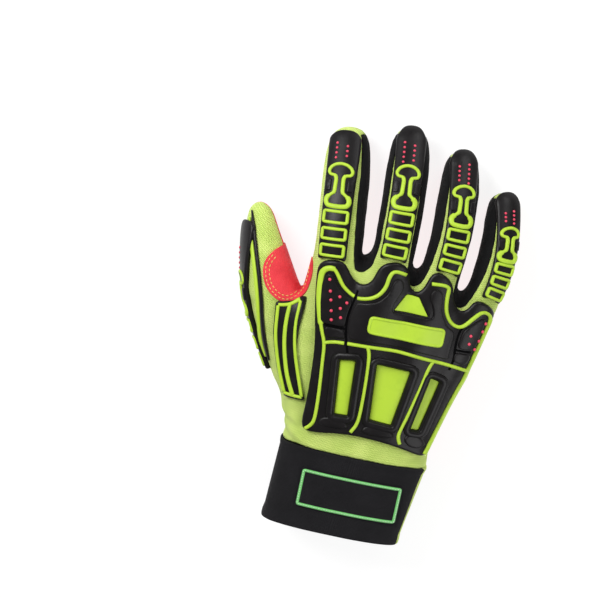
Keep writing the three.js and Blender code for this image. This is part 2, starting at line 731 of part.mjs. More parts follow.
function backPlate(outline, low, thickness, holes) {
  return prism(outline, backFrame, backLow, backHigh, holes).intersect(layer(onBack, low, thickness));
}
const windowShare = 0.7; // thickness of the windows over the guard's
const windows = Object.entries(guardWindows).map(([name, corners]) => [name, onGuard(corners)]);
addPiece('back_guard', 'rubber', geometryOf(backPlate(
  smoothOutline(onGuard(guardOutline), 50),
  fitGap,
  guardThickness,
  windows.map(([, corners]) => corners),
)));
windows.forEach(([name, corners]) => {
  const pane = backPlate(drawnIn(corners, fitGap), fitGap, guardThickness * windowShare);
  addPiece(`back_guard_window_${name}`, 'limeRubber', geometryOf(pane));
});
const plate = backPlate(onGuard(guardPlate), 2 * fitGap + guardThickness, inlayThickness);
addPiece('back_guard_plate', 'limeRubber', geometryOf(plate));

// The small guard beside the index metacarpal: shares of its length, from its lower edge.
// across, along: place of that edge, as shares of the wrist's width and the palm's length.
const webGuardPlace = { across: 0.59, along: 0.22 };
const webGuardOutline = [
  [-0.19, 0.83], [-0.15, 0.52], [-0.06, 0.2], [0.02, 0.05], [0.1, 0], [0.22, 0.01], [0.24, 0.05],
  [0.14, 0.29], [0.075, 0.57], [0.05, 0.82], [0.05, 1],
];
const webFrame = new THREE.Matrix4()
  .makeTranslation(-wristWidth * webGuardPlace.across, palmLength * webGuardPlace.along, 0);
const onWeb = webGuardOutline.map(([u, v]) => [u * webGuardLength, v * webGuardLength]);
const webPlate = (outline, low, thickness) => geometryOf(
  prism(outline, webFrame, backLow, backHigh).intersect(layer(onBack, low, thickness)),
);
const webTop = 2 * fitGap + webGuardThickness;
addPiece('web_guard', 'rubber', webPlate(onWeb, fitGap, webGuardThickness));
addPiece('web_guard_frame', 'limeRubber', webPlate(drawnIn(onWeb, webGuardRim), webTop, inlayThickness));

// The oval patch over the crotch between thumb and index finger: shares of its length
const saddleOutline = [
  [-0.5, 0.35], [-0.46, 0.0], [-0.3, -0.28], [0, -0.42], [0.25, -0.38], [0.46, -0.15], [0.5, 0.25],
  [0.46, 0.6], [0.2, 0.75], [-0.2, 0.75],
];
const onCrotch = ({ zone, row, edge }) => (zone === 'palm' && row >= 3 && (edge >= 24 || edge === 0))
  || (zone === 'thumb' && row < 3 && [1, 2, 3].includes(edge));
const saddlePlace = { across: 0.7, along: 0.82 };
const saddleFrame = new THREE.Matrix4()
  .makeTranslation(-wristWidth * saddlePlace.across, palmLength * saddlePlace.along, 0);
const saddleCorners = saddleOutline.map(([u, v]) => [u * saddleLength, v * saddleLength]);
const saddle = prism(smoothOutline(saddleCorners, 16), saddleFrame, saddleLow, backHigh)
  .intersect(layer(onCrotch, fitGap, saddleThickness));
addPiece('saddle_patch', 'red', geometryOf(saddle));

// Finger guards. Their tables hold shares of the guard's length and half width.
const fingerGuardSides = [
  { along: 0, half: 0.82 }, { along: 0.03, half: 0.95 }, { along: 0.4, half: 0.93 },
  { along: 0.66, half: 1 }, { along: 0.86, half: 1.06 }, { along: 0.95, half: 0.85 },
  { along: 1, half: 0.4 },
];
const fingerFrames = [
  { name: 'frame_low', from: 0.03, to: 0.13, half: 0.6 },
  { name: 'frame_middle', from: 0.15, to: 0.25, half: 0.62 },
  { name: 'frame_high', from: 0.27, to: 0.37, half: 0.64 },
];
const beamSides = [
  { along: 0.4, half: 0.66 }, { along: 0.47, half: 0.66 }, { along: 0.5, half: 0.4 },
  { along: 0.6, half: 0.4 }, { along: 0.64, half: 0.7 }, { along: 0.72, half: 0.74 },
];
const sidesOutline = (rows) => [
  ...rows.map(({ along, half }) => [half, along]),
  ...rows.slice().reverse().map(({ along, half }) => [-half, along]),
];

const cutDepth = 160; // of the prisms, past the far side of the hand
function fingerGuard(name, where, frame, low, place) {
  const at = (outline) => outline.map(([u, v]) => place(u, v));
  const cut = (outline, height, thickness) => geometryOf(
    prism(at(outline), frame, low, low + cutDepth).intersect(layer(where, height, thickness)),
  );
  const body = cut(sidesOutline(fingerGuardSides), fitGap, fingerGuardThickness);
  addPiece(`${name}_guard`, 'rubber', body);
  const top = 2 * fitGap + fingerGuardThickness;
  fingerFrames.forEach((row) => {
    const sides = [{ along: row.from, half: row.half }, { along: row.to, half: row.half }];
    addPiece(`${name}_guard_${row.name}`, 'limeRubber', cut(sidesOutline(sides), top, inlayThickness));
  });
  addPiece(`${name}_guard_beam`, 'limeRubber', cut(sidesOutline(beamSides), top, inlayThickness));
}

fingers.forEach((finger) => {
  const roll = finger.roll * degree;
  const across = vector(Math.cos(roll), 0, -Math.sin(roll));
  const out = vector(Math.sin(roll), 0, Math.cos(roll));
  const frame = new THREE.Matrix4().makeBasis(across, vector(0, 1, 0), out);
  const halfWidth = finger.width * 0.32;
  const place = (u, v) => {
    const along = lerp(finger.guard, 0.985, v);
    const drop = 0.02 + along * along;
    const x = acrossFinger(finger, along);
    const root = finger.height - finger.thickness / 2;
    const z = lerp(root, finger.thickness * restHeight, Math.min(1, drop));
    return [x * across.x + z * across.z + u * halfWidth, finger.rootY + finger.length * along];
  };
  fingerGuard(finger.name, onFinger(finger.name), frame, -50, place);
});

// The thumb's guard, on its back from beside the wrist to its tip
const thumbStart = thumbBase.clone().add(vector(-thumbLength * 0.05, -thumbLength * 0.28, 0));
const thumbEnd = thumbMiddle(thumbTip);
const thumbAxis = vector(thumbEnd.x - thumbStart.x, thumbEnd.y - thumbStart.y, 0).normalize();
const thumbSideways = new THREE.Vector3().crossVectors(thumbAxis, vector(0, 0, 1));
const nail = nailAngle * degree;
const thumbOut = vector(0, 0, Math.cos(nail)).addScaledVector(thumbSideways, -Math.sin(nail));
const thumbAcross = new THREE.Vector3().crossVectors(thumbAxis, thumbOut);
const thumbFrame = new THREE.Matrix4().makeBasis(thumbAcross, thumbAxis, thumbOut)
  .setPosition(thumbStart.clone().setZ(thumbWidth * 0.55));
const thumbGuardLength = thumbStart.distanceTo(thumbEnd.clone().setZ(0));
const onThumb = ({ zone, row, edge }) => (zone === 'thumb' && [6, 7, 0, 1].includes(edge))
  || (zone === 'palm' && (edge >= 24 || edge <= 1));
const onThumbGuard = (u, v) => [u * thumbWidth * 0.34, v * thumbGuardLength * 0.95];
fingerGuard('thumb', onThumb, thumbFrame, 0, onThumbGuard);

// Set the glove on the table with its middle over the origin
glove.updateMatrixWorld(true);
const box = new THREE.Box3().setFromObject(glove);
glove.position.set(-(box.min.x + box.max.x) / 2, -(box.min.y + box.max.y) / 2, -box.min.z);

export default group;
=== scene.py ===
import math
from itertools import product
import bmesh
import bpy
from mathutils import Matrix, Vector, noise
from mathutils.bvhtree import BVHTree
from mathutils.interpolate import poly_3d_calc


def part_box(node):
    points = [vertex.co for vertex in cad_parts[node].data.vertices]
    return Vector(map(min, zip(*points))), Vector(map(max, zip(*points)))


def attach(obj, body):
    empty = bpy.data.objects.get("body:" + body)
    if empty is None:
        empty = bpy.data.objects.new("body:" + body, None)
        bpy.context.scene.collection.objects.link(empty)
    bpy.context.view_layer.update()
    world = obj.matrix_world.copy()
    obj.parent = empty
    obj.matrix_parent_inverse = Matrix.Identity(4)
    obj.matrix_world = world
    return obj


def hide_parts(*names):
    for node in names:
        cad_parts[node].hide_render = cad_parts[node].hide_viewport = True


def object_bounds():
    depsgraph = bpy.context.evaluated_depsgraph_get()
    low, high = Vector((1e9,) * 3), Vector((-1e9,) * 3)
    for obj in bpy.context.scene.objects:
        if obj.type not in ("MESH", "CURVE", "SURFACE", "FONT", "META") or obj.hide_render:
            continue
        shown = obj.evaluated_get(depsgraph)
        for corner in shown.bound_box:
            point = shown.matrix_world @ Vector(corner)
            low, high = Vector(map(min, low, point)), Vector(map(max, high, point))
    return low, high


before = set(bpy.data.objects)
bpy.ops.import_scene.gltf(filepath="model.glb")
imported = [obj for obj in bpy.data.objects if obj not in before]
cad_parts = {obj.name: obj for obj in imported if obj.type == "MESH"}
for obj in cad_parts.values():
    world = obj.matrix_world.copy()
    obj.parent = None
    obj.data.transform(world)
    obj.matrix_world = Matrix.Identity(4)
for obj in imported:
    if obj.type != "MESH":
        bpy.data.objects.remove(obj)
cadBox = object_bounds()
mm = 0.001
seamGap = 0.4 * mm     # between the CAD panels, and between hand and cuff
farOff = 100 * mm      # from here, above or below the table, aims look at the hand

# The wrist seam's middle on the table: the guards are laid out from it
tabLow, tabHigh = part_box("pull_tab")
_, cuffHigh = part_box("cuff")
wristSeam = Vector(((tabLow.x + tabHigh.x) / 2, cuffHigh.y + seamGap, 0))
print("frame loaded, wrist seam at", [round(value / mm, 1) for value in wristSeam])


# Materials

class Shade:
    def __init__(self, tree, socket):
        self.tree = tree
        self.socket = socket

    def node(self, kind, settings, inputs, output=0):
        made = self.tree.nodes.new("ShaderNode" + kind)
        for name, value in settings.items():
            setattr(made, name, value)
        for name, value in inputs.items():
            if isinstance(value, Shade):
                self.tree.links.new(value.socket, made.inputs[name])
            else:
                made.inputs[name].default_value = value
        return Shade(self.tree, made.outputs[output])

    def math(self, operation, *values):
        return self.node("Math", {"operation": operation}, dict(enumerate(values)))

    def __add__(self, other):
        return self.math("ADD", self, other)

    __radd__ = __add__

    def __sub__(self, other):
        return self.math("SUBTRACT", self, other)

    def __rsub__(self, other):
        return self.math("SUBTRACT", other, self)

    def __mul__(self, other):
        return self.math("MULTIPLY", self, other)

    __rmul__ = __mul__

    def __truediv__(self, other):
        return self.math("DIVIDE", self, other)

    def __rtruediv__(self, other):
        return self.math("DIVIDE", other, self)

    def noise(self, size, detail=2.0, roughness=0.5):
        return self.node("TexNoise", {}, {"Vector": self, "Scale": 1 / size, "Detail": detail,
                                          "Roughness": roughness})

    def cellEdges(self, size):
        return self.node("TexVoronoi", {"feature": "DISTANCE_TO_EDGE"},
                         {"Vector": self, "Scale": 1 / size})

    def mix(self, one, other):
        return self.node("Mix", {"data_type": "RGBA"}, {0: self, 6: one, 7: other}, output=2)

    def ramp(self, low, high):
        return self.node("MapRange", {"interpolation_type": "SMOOTHSTEP"},
                         {"Value": self, "From Min": low, "From Max": high})


def colour(red, green, blue):
    linear = [((c / 255 + 0.055) / 1.055) ** 2.4 if c > 10 else c / 255 / 12.92
              for c in (red, green, blue)]
    return (*linear, 1.0)


def startMaterial(name, constants):
    material = bpy.data.materials.new(name)
    material.use_nodes = True
    tree = material.node_tree
    surface = tree.nodes["Principled BSDF"]
    for socket, value in constants.items():
        surface.inputs[socket].default_value = value
    place = Shade(tree, tree.nodes.new("ShaderNodeTexCoord").outputs["Object"])
    return material, surface, place


def finishMaterial(surface, colours, roughness, height, depth):
    tree = colours.tree
    tree.links.new(colours.socket, surface.inputs["Base Color"])
    tree.links.new(roughness.socket, surface.inputs["Roughness"])
    bump = height.node("Bump", {}, {"Height": height, "Distance": depth, "Strength": 1.0})
    tree.links.new(bump.socket, surface.inputs["Normal"])


def knitMaterial(name, base, shaded, wale, course, depth, sheen=0.0):
    # wale, course: width and height of a stitch; each is two slanted legs
    material, surface, place = startMaterial(name, {
        "Sheen Weight": sheen, "Sheen Roughness": 0.5, "Specular IOR Level": 0.2})
    flat = Shade(place.tree, place.tree.nodes.new("ShaderNodeTexCoord").outputs["UV"])
    across = flat.node("SeparateXYZ", {}, {"Vector": flat}, 0) / wale
    along = flat.node("SeparateXYZ", {}, {"Vector": flat}, 1) / course
    side = flat.math("ABSOLUTE", flat.math("FRACT", across) - 0.5)
    leg = side * 4 - 1
    row = flat.math("FRACT", along + side * 1.3) * 2 - 1
    loops = (1 - leg * leg) * (1 - row * row)
    fuzz = place.noise(0.4 * mm, 3)
    patches = place.noise(14 * mm, 3).ramp(0.3, 0.75)
    # Painted shade: the gaps between the loops take the shaded colour; the patches are random tone
    # in the same colour
    gapShade = (1 - loops) * (1 - loops)
    colours = (patches * 0.3 + gapShade * fuzz.ramp(0.2, 0.55)).mix(base, shaded)
    finishMaterial(surface, colours, fuzz * 0.15 + 0.72, fuzz * 0.3 + loops, depth)
    return material


def leatherMaterial(name, base, shaded):
    material, surface, place = startMaterial(name, {"Specular IOR Level": 0.4})
    grain = place.cellEdges(1.1 * mm).ramp(0.0, 0.25)
    nap = place.noise(0.5 * mm, 4)
    wear = place.noise(11 * mm, 4).ramp(0.35, 0.7)
    colours = (wear * 0.5 + nap * 0.3).mix(base, shaded)
    finishMaterial(surface, colours, 0.62 - grain * 0.14 + wear * 0.08, grain + nap * 0.5,
                   0.16 * mm)
    return material


def rubberMaterial(name, base, dusty, roughness, level):
    material, surface, place = startMaterial(name, {"Specular IOR Level": level})
    fine = place.noise(0.35 * mm, 2)
    dust = place.noise(9 * mm, 5, 0.65).ramp(0.45, 0.8)
    colours = (dust * 0.5 + fine * 0.15).mix(base, dusty)
    finishMaterial(surface, colours, dust * 0.12 + fine * 0.08 + roughness, fine, 0.05 * mm)
    return material


def threadMaterial(name, base, shaded):
    material, surface, place = startMaterial(name, {"Sheen Weight": 0.2})
    strands = place.noise(0.3 * mm, 2)
    finishMaterial(surface, strands.ramp(0.35, 0.65).mix(base, shaded), strands * 0.2 + 0.5,
                   strands, 0.08 * mm)
    return material


limeKnit = knitMaterial("limeKnit", colour(232, 248, 142), colour(160, 194, 70),
                        1.7 * mm, 1.4 * mm, 0.4 * mm, 0.1)
blackKnit = knitMaterial("blackKnit", colour(24, 24, 25), colour(9, 9, 10),
                         1.5 * mm, 1.2 * mm, 0.4 * mm)
neopreneKnit = knitMaterial("neopreneKnit", colour(32, 31, 34), colour(13, 12, 15),
                            1.2 * mm, 0.9 * mm, 0.3 * mm)
webbing = knitMaterial("webbing", colour(36, 35, 39), colour(12, 12, 14),
                       1.8 * mm, 1.8 * mm, 0.5 * mm)
redLeather = leatherMaterial("redLeather", colour(232, 58, 68), colour(205, 38, 50))
blackRubber = rubberMaterial("blackRubber", colour(17, 15, 16), colour(30, 27, 29), 0.3, 0.2)
limeRubber = rubberMaterial("limeRubber", colour(176, 208, 56), colour(152, 188, 46), 0.4, 0.3)
redRubber = rubberMaterial("redRubber", colour(226, 72, 98), colour(196, 50, 76), 0.4, 0.3)
yellowThread = threadMaterial("yellowThread", colour(238, 205, 120), colour(214, 176, 84))
greenThread = threadMaterial("greenThread", colour(118, 204, 112), colour(88, 172, 84))
whiteThread = threadMaterial("whiteThread", colour(236, 240, 232), colour(204, 212, 200))
# Near-black matte: painted shade for the slits between the back guard's fields
paintedGrooveShade = rubberMaterial("paintedGrooveShade", colour(5, 5, 6), colour(9, 8, 9), 0.8, 0.05)
print("materials made")


# Helpers for meshes

def lerp(low, high, share):
    return low + (high - low) * share


def meshFrom(bm, name="passing"):
    mesh = bpy.data.meshes.new(name)
    bm.to_mesh(mesh)
    bm.free()
    return mesh


def addObject(name, data):
    added = bpy.data.objects.new(name, data)
    bpy.context.scene.collection.objects.link(added)
    return added


def makePiece(name, bm, material, slot, replaced=()):
    mesh = meshFrom(bm, name)
    for polygon in mesh.polygons:
        polygon.use_smooth = True
    mesh.materials.clear()
    mesh.materials.append(material)
    piece = addObject(name, mesh)
    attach(piece, "root")
    if replaced:
        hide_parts(*replaced)
    return piece


def addWall(piece, thickness, offset=-1):
    wall = piece.modifiers.new("wall", "SOLIDIFY")
    wall.thickness = thickness
    wall.offset = offset


def unwrapAndSmooth(bm, levels):
    for edge in bm.edges:
        edge.seam = len({face.material_index for face in edge.link_faces}) > 1
    mesh = meshFrom(bm)
    passing = addObject("passing", mesh)
    bpy.context.view_layer.objects.active = passing
    passing.select_set(True)
    bpy.ops.object.mode_set(mode="EDIT")
    bpy.ops.mesh.select_all(action="SELECT")
    bpy.ops.uv.unwrap(method="ANGLE_BASED", margin=0)
    bpy.ops.object.mode_set(mode="OBJECT")
    finer = passing.modifiers.new("finer", "SUBSURF")
    finer.levels = finer.render_levels = levels
    graph = bpy.context.evaluated_depsgraph_get()
    result = bpy.data.meshes.new_from_object(passing.evaluated_get(graph))
    smooth = bmesh.new()
    smooth.from_mesh(result)
    bpy.data.objects.remove(passing)
    bpy.data.meshes.remove(mesh)
    bpy.data.meshes.remove(result)
    return smooth


def declareSheet(piece, flat, area=None):
    # area is given where the cut isn't a rectangle
    shown = area or flat[0] * flat[1]
    print(f"{piece.name}: flat {flat[0] / mm:.1f} x {flat[1] / mm:.1f} mm, {shown * 1e4:.1f} cm2")


def mapFlat(bm, across, along):
    layer = bm.loops.layers.uv.new("flat")
    for face in bm.faces:
        for loop in face.loops:
            loop[layer].uv = (loop.vert.co.x * across, loop.vert.co.y * along)


def smoothLine(points, steps, closed=False):
    points = [Vector(point) for point in points]
    count = len(points)
    line = []
    for n in range(count if closed else count - 1):
        if closed:
            before, here, there, after = (points[(n + k) % count] for k in (-1, 0, 1, 2))
        else:
            before, after = points[max(n - 1, 0)], points[min(n + 2, count - 1)]
            here, there = points[n], points[n + 1]
        for step in range(steps):
            t = step / steps
            line.append(0.5 * ((2 * here) + (there - before) * t
                               + (2 * before - 5 * here + 4 * there - after) * t ** 2
                               + (3 * here - before - 3 * there + after) * t ** 3))
    if not closed:
        line.append(points[-1])
    return line


def roundedLine(points, radius, most=0.48):
    # A corner takes up at most that share of a side
    points = [Vector(point) for point in points]
    line = []
    for n, here in enumerate(points):
        before, after = points[n - 1] - here, points[(n + 1) % len(points)] - here
        first = here + before.normalized() * min(radius, before.length * most)
        last = here + after.normalized() * min(radius, after.length * most)
        for t in (0, 0.25, 0.5, 0.75, 1):
            line.append(first.lerp(here, t).lerp(here.lerp(last, t), t))
    return line


def finerLine(points, step, closed=False):
    points = [Vector(point) for point in points]
    line = []
    for here, there in zip(points, points[1:] + (points[:1] if closed else [])):
        count = max(1, math.ceil((there - here).length / step))
        line += [here.lerp(there, n / count) for n in range(count)]
    if not closed:
        line.append(points[-1])
    return line


def softened(points, passes, closed=False):
    for _ in range(passes):
        last = len(points) - 1
        points = [here if not closed and n in (0, last)
                  else (points[n - 1] + 2 * here + points[(n + 1) % len(points)]) / 4
                  for n, here in enumerate(points)]
    return points


def scaled(points, across, along):
    return [(u * across, v * along) for u, v in points]


# The sewn hand: a copy of the five panels' outer faces, joined to one smooth skin

panels = {
    "back_panel": (limeKnit, "lime_knit"),
    "palm_panel": (redLeather, "red_leather"),
    "fourchette_index_middle": (blackKnit, "black_knit"),
    "fourchette_middle_ring": (blackKnit, "black_knit"),
    "fourchette_ring_pinky": (blackKnit, "black_knit"),
}
# openShare: how many of a patch's sight lines are free on the hand's outside. rimFacing: how
# squarely the wrist's rim faces back. lean: how far laid pieces turn from the normal to the aim
skin = {"levels": 3, "thickness": 1.4 * mm, "seamDip": 0.35 * mm, "rimGap": 0.04 * mm,
        "crease": math.radians(65), "openShare": 0.2, "rimFacing": 0.8, "startOff": 0.1 * mm,
        "weld": 0.01 * mm, "rimWeld": 1.5 * seamGap, "aimFrom": 60 * mm, "nearBy": 45 * mm,
        "lean": 0.35}


def flood(faces, crease):
    left = set(faces)
    patches = []
    while left:
        front = [left.pop()]
        patch = list(front)
        while front:
            face = front.pop()
            for edge in face.edges:
                if edge.calc_face_angle(0) > crease:
                    continue
                for other in edge.link_faces:
                    if other in left:
                        left.discard(other)
                        front.append(other)
                        patch.append(other)
        patches.append(patch)
    return patches


def handSkin():
    bm = bmesh.new()
    for index, name in enumerate(panels):
        first = len(bm.faces)
        bm.from_mesh(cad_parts[name].data)
        bm.faces.ensure_lookup_table()
        for face in bm.faces[first:]:
            face.material_index = index
    bmesh.ops.remove_doubles(bm, verts=bm.verts, dist=skin["weld"])
    bm.normal_update()
    tree = BVHTree.FromBMesh(bm)
    ways = [Vector(way).normalized() for way in product((-1, 0, 1), repeat=3) if any(way)]
    outer = set()
    for patch in flood(bm.faces, skin["crease"]):
        openWays = 0
        for face in patch:
            start = face.calc_center_median() + face.normal * skin["startOff"]
            openWays += sum(tree.ray_cast(start, way)[0] is None for way in ways) / len(ways)
        wristRim = sum(face.normal.y for face in patch) < -skin["rimFacing"] * len(patch)
        if openWays > skin["openShare"] * len(patch) and not wristRim:
            outer.update(patch)
    bmesh.ops.delete(bm, geom=[face for face in bm.faces if face not in outer], context="FACES")
    rim = [vert for vert in bm.verts if vert.is_boundary]
    bmesh.ops.remove_doubles(bm, verts=rim, dist=skin["rimWeld"])
    bmesh.ops.join_triangles(bm, faces=bm.faces, angle_face_threshold=math.pi,
                             angle_shape_threshold=math.pi)
    loose = sum(len(face.verts) == 3 for face in bm.faces)
    holes = sum(edge.is_boundary for edge in bm.edges)
    print("hand skin:", len(bm.faces), "faces,", loose, "triangles,", holes, "rim edges")
    return unwrapAndSmooth(bm, skin["levels"])


def surfaceOf(bm):
    bm.normal_update()
    bm.faces.ensure_lookup_table()
    return bm, BVHTree.FromBMesh(bm)


hand = surfaceOf(handSkin())


def spotOn(surface, start, direction):
    bm, tree = surface
    spot, _, index, _ = tree.ray_cast(start, direction)
    if spot is None:
        spot, _, index, _ = tree.find_nearest(start + direction * skin["nearBy"])
    corners = bm.faces[index].verts
    weights = poly_3d_calc([vert.co for vert in corners], spot)
    normal = sum((vert.normal * weight for vert, weight in zip(corners, weights)), Vector())
    return spot, normal.normalized()


def laidPiece(name, bm, aim, material, slot, replaced=(), surface=hand):
    # Flat places become aims at the surface, heights go out from where they hit
    for vert in bm.verts:
        start, direction = aim(vert.co.x, vert.co.y)
        spot, normal = spotOn(surface, start, direction)
        away = normal.lerp(-direction, skin["lean"]).normalized()
        vert.co = spot + away * vert.co.z
    bm.normal_update()
    return makePiece(name, bm, material, slot, replaced)


def layFlat(piece):
    # Turns and scales the UV map to the cloth's true size, in metres, knit along the hand
    mesh = piece.data
    corners = mesh.uv_layers.active.data
    rows = []
    flatArea = 0
    for polygon in mesh.polygons:
        ring = [complex(*corners[n].uv) for n in polygon.loop_indices]
        flatArea += abs(sum((a.conjugate() * b).imag
                            for a, b in zip(ring, ring[1:] + ring[:1]))) / 2
        spot = polygon.center
        rows.append((polygon.area * abs(polygon.normal.z), sum(ring) / len(ring),
                     complex(spot.x, spot.y)))
    total = sum(weight for weight, _, _ in rows)
    flatMiddle = sum(weight * flat for weight, flat, _ in rows) / total
    planMiddle = sum(weight * plan for weight, _, plan in rows) / total
    turned = sum(weight * (plan - planMiddle) * (flat - flatMiddle).conjugate()
                 for weight, flat, plan in rows)
    flipped = sum(weight * (plan - planMiddle) * (flat - flatMiddle)
                  for weight, flat, plan in rows)
    area = sum(polygon.area for polygon in mesh.polygons)
    size = math.sqrt(area / flatArea)
    isFlipped = abs(flipped) > abs(turned)
    turn = flipped if isFlipped else turned
    turn *= size / abs(turn)
    for corner in corners:
        flat = complex(*corner.uv)
        flat = turn * (flat.conjugate() if isFlipped else flat)
        corner.uv = (flat.real, flat.imag)
    wide, long = (max(values) - min(values)
                  for values in zip(*(tuple(corner.uv) for corner in corners)))
    return (wide, long), area


# Folds: ends in mm from the wrist seam, height and half width
folds = {
    "back_panel": [((-62, 27), (-38, 14), 1.7, 3.0), ((-57, 17), (-33, 5), 1.5, 2.8),
                   ((-70, 36), (-56, 24), 1.2, 2.6), ((-48, 8), (-30, 2), 1.0, 2.4),
                   ((-74, 44), (-60, 36), 0.7, 3.0), ((26, 6), (42, 12), 0.7, 3.0),
                   ((-20, 5), (14, 5), 0.5, 3.0), ((-90, 96), (-84, 84), 0.5, 3.0)],
    "palm_panel": [((-56, 82), (-24, 60), 1.2, 4.5), ((-60, 72), (-30, 46), 1.0, 4.5),
                   ((-50, 30), (-36, 58), 0.8, 4.5), ((-38, 112), (46, 104), 0.8, 4.0),
                   ((-30, 16), (36, 12), 0.7, 4.0), ((10, 60), (46, 66), 0.8, 5.0)],
}
ripples = {"wide": 13 * mm, "wideHeight": 0.35 * mm, "fine": 4 * mm, "fineHeight": 0.14 * mm,
           "pucker": 1.7 * mm, "puckerHeight": 0.3 * mm, "puckerRings": 3,
           "runOut": 0.2, "bend": 0.5, "bendTurn": 3, "dipAt": 1.7, "dipShare": 0.6}


def ruffle(bm, name):
    g = ripples
    rings = [{vert for vert in bm.verts if vert.is_boundary}]
    for _ in range(g["puckerRings"]):
        near = {edge.other_vert(vert) for vert in rings[-1] for edge in vert.link_edges}
        rings.append(near - rings[-1] - (rings[-2] if len(rings) > 1 else set()))
    nearness = {vert: 1 - n / len(rings) for n, ring in enumerate(rings) for vert in ring}
    moves = []
    for vert in bm.verts:
        place = vert.co - wristSeam
        rise = noise.noise(place / g["wide"]) * g["wideHeight"]
        rise += noise.noise(place / g["fine"]) * g["fineHeight"]
        rise += noise.noise(place / g["pucker"]) * g["puckerHeight"] * nearness.get(vert, 0)
        for start, end, height, wide in folds.get(name, ()):
            start, end = Vector(start) * mm, Vector(end) * mm
            run = end - start
            share = (place.xy - start).dot(run) / run.length_squared
            if -g["runOut"] < share < 1 + g["runOut"]:
                side = (place.xy - start).cross(run) / run.length / (wide * mm)
                side -= g["bend"] * math.sin(share * g["bendTurn"])
                fade = math.sin(math.pi * (share + g["runOut"]) / (1 + 2 * g["runOut"])) ** 2
                dip = g["dipShare"] * math.exp(-(side - g["dipAt"]) ** 2)
                rise += (math.exp(-side ** 2) - dip) * height * mm * fade
        moves.append(vert.normal * rise)
    print(name, "moved by up to", round(max(move.length for move in moves) / mm, 2), "mm")
    for vert, move in zip(bm.verts, moves):
        vert.co += move


def panelPiece(index, name):
    material, slot = panels[name]
    bm = hand[0].copy()
    bmesh.ops.delete(bm, geom=[face for face in bm.faces if face.material_index != index],
                     context="FACES")
    bm.normal_update()
    rim = [vert for vert in bm.verts if vert.is_boundary]
    moves = []
    for vert in rim:
        inward = sum((face.calc_center_median() - vert.co for face in vert.link_faces), Vector())
        inward -= vert.normal * inward.dot(vert.normal)
        moves.append(inward.normalized() * skin["rimGap"] - vert.normal * skin["seamDip"])
    for vert, move in zip(rim, moves):
        vert.co += move
    bm.normal_update()
    ruffle(bm, name)
    for face in bm.faces:
        face.material_index = 0
    halfRim = sum(edge.calc_length() for edge in bm.edges if edge.is_boundary) / 2
    piece = makePiece(name + "_cloth", bm, material, slot, [name])
    flat, area = layFlat(piece)
    if "fourchette" in name:
        # A curved strip: the straight strip with the same rim and area
        long = (halfRim + math.sqrt(halfRim ** 2 - 4 * area)) / 2
        flat = (area / long, long)
    addWall(piece, skin["thickness"])
    declareSheet(piece, flat, area=area)


for index, name in enumerate(panels):
    panelPiece(index, name)
print("panels made")


# Plates and ridges are made flat, then laid over the skin

def drawnIn(points, amount):
    area = sum(a[0] * b[1] - b[0] * a[1] for a, b in zip(points, points[1:] + points[:1]))
    moved = []
    for n, here in enumerate(points):
        normals = []
        for a, b in ((points[n - 1], here), (here, points[(n + 1) % len(points)])):
            run = (Vector(b) - Vector(a)).normalized() * math.copysign(1, area)
            normals.append(Vector((-run.y, run.x)))
        scale = amount / (1 + normals[0].dot(normals[1]))
        moved.append(Vector(here) + (normals[0] + normals[1]) * scale)
    return moved


plate = {"turns": (0, 30, 60, 90), "holeRounding": 0.4, "cut": 2.5 * mm, "sunk": 0.5 * mm,
         "weld": 0.001 * mm, "ridgePower": 0.6, "step": 2 * mm, "fineStep": 1.5 * mm}


def flatPlate(outline, height, rounding, low=0, holes=(), step=plate["cut"]):
    bm = bmesh.new()
    contours = []
    profile = [(0, 0)] + [(rounding * (1 - math.cos(math.radians(turn))),
                           height - rounding * (1 - math.sin(math.radians(turn))))
                          for turn in plate["turns"]]
    for points, side in [(outline, 1)] + [(hole, -plate["holeRounding"]) for hole in holes]:
        rings = []
        for inward, up in profile:
            verts = [bm.verts.new((*place, up)) for place in drawnIn(points, inward * side)]
            rings.append([bm.edges.new(pair) for pair in zip(verts, verts[1:] + verts[:1])])
        contours.append(rings)
    for level in (0, -1):
        bmesh.ops.triangle_fill(bm, use_beauty=True, use_dissolve=False, normal=(0, 0, 1),
                                edges=[edge for rings in contours for edge in rings[level]])
    for rings in contours:
        for lower, upper in zip(rings, rings[1:]):
            bmesh.ops.bridge_loops(bm, edges=lower + upper)
    bmesh.ops.recalc_face_normals(bm, faces=bm.faces)
    for axis in (0, 1):
        places = [point[axis] for point in outline]
        count = int((max(places) - min(places)) / step)
        for n in range(1, count + 1):
            at, facing = Vector(), Vector()
            at[axis] = lerp(min(places), max(places), n / (count + 1))
            facing[axis] = 1
            bmesh.ops.bisect_plane(bm, geom=bm.verts[:] + bm.edges[:] + bm.faces[:],
                                   plane_co=at, plane_no=facing)
    bmesh.ops.translate(bm, verts=bm.verts, vec=(0, 0, low))
    return bm


def flatRidge(points, width, height, low, closed=False, widen=None):
    curve = bpy.data.curves.new("passing", "CURVE")
    curve.dimensions = "3D"
    curve.bevel_depth = width / 2
    curve.bevel_resolution = 2
    curve.use_fill_caps = True
    spline = curve.splines.new("POLY")
    spline.points.add(len(points) - 1)
    for point, target in zip(points, spline.points):
        target.co = (*point, 0, 1)
        target.radius = widen(*point) if widen else 1
    spline.use_cyclic_u = closed
    passing = bpy.data.objects.new("passing", curve)
    mesh = bpy.data.meshes.new_from_object(passing)
    bm = bmesh.new()
    bm.from_mesh(mesh)
    bmesh.ops.remove_doubles(bm, verts=bm.verts, dist=plate["weld"])
    bmesh.ops.recalc_face_normals(bm, faces=bm.faces)
    bpy.data.objects.remove(passing)
    bpy.data.curves.remove(curve)
    bpy.data.meshes.remove(mesh)
    for vert in bm.verts:
        share = min(1, abs(vert.co.z) / width * 2)
        vert.co.z = low + math.copysign(share ** plate["ridgePower"], vert.co.z) * height
    return bm


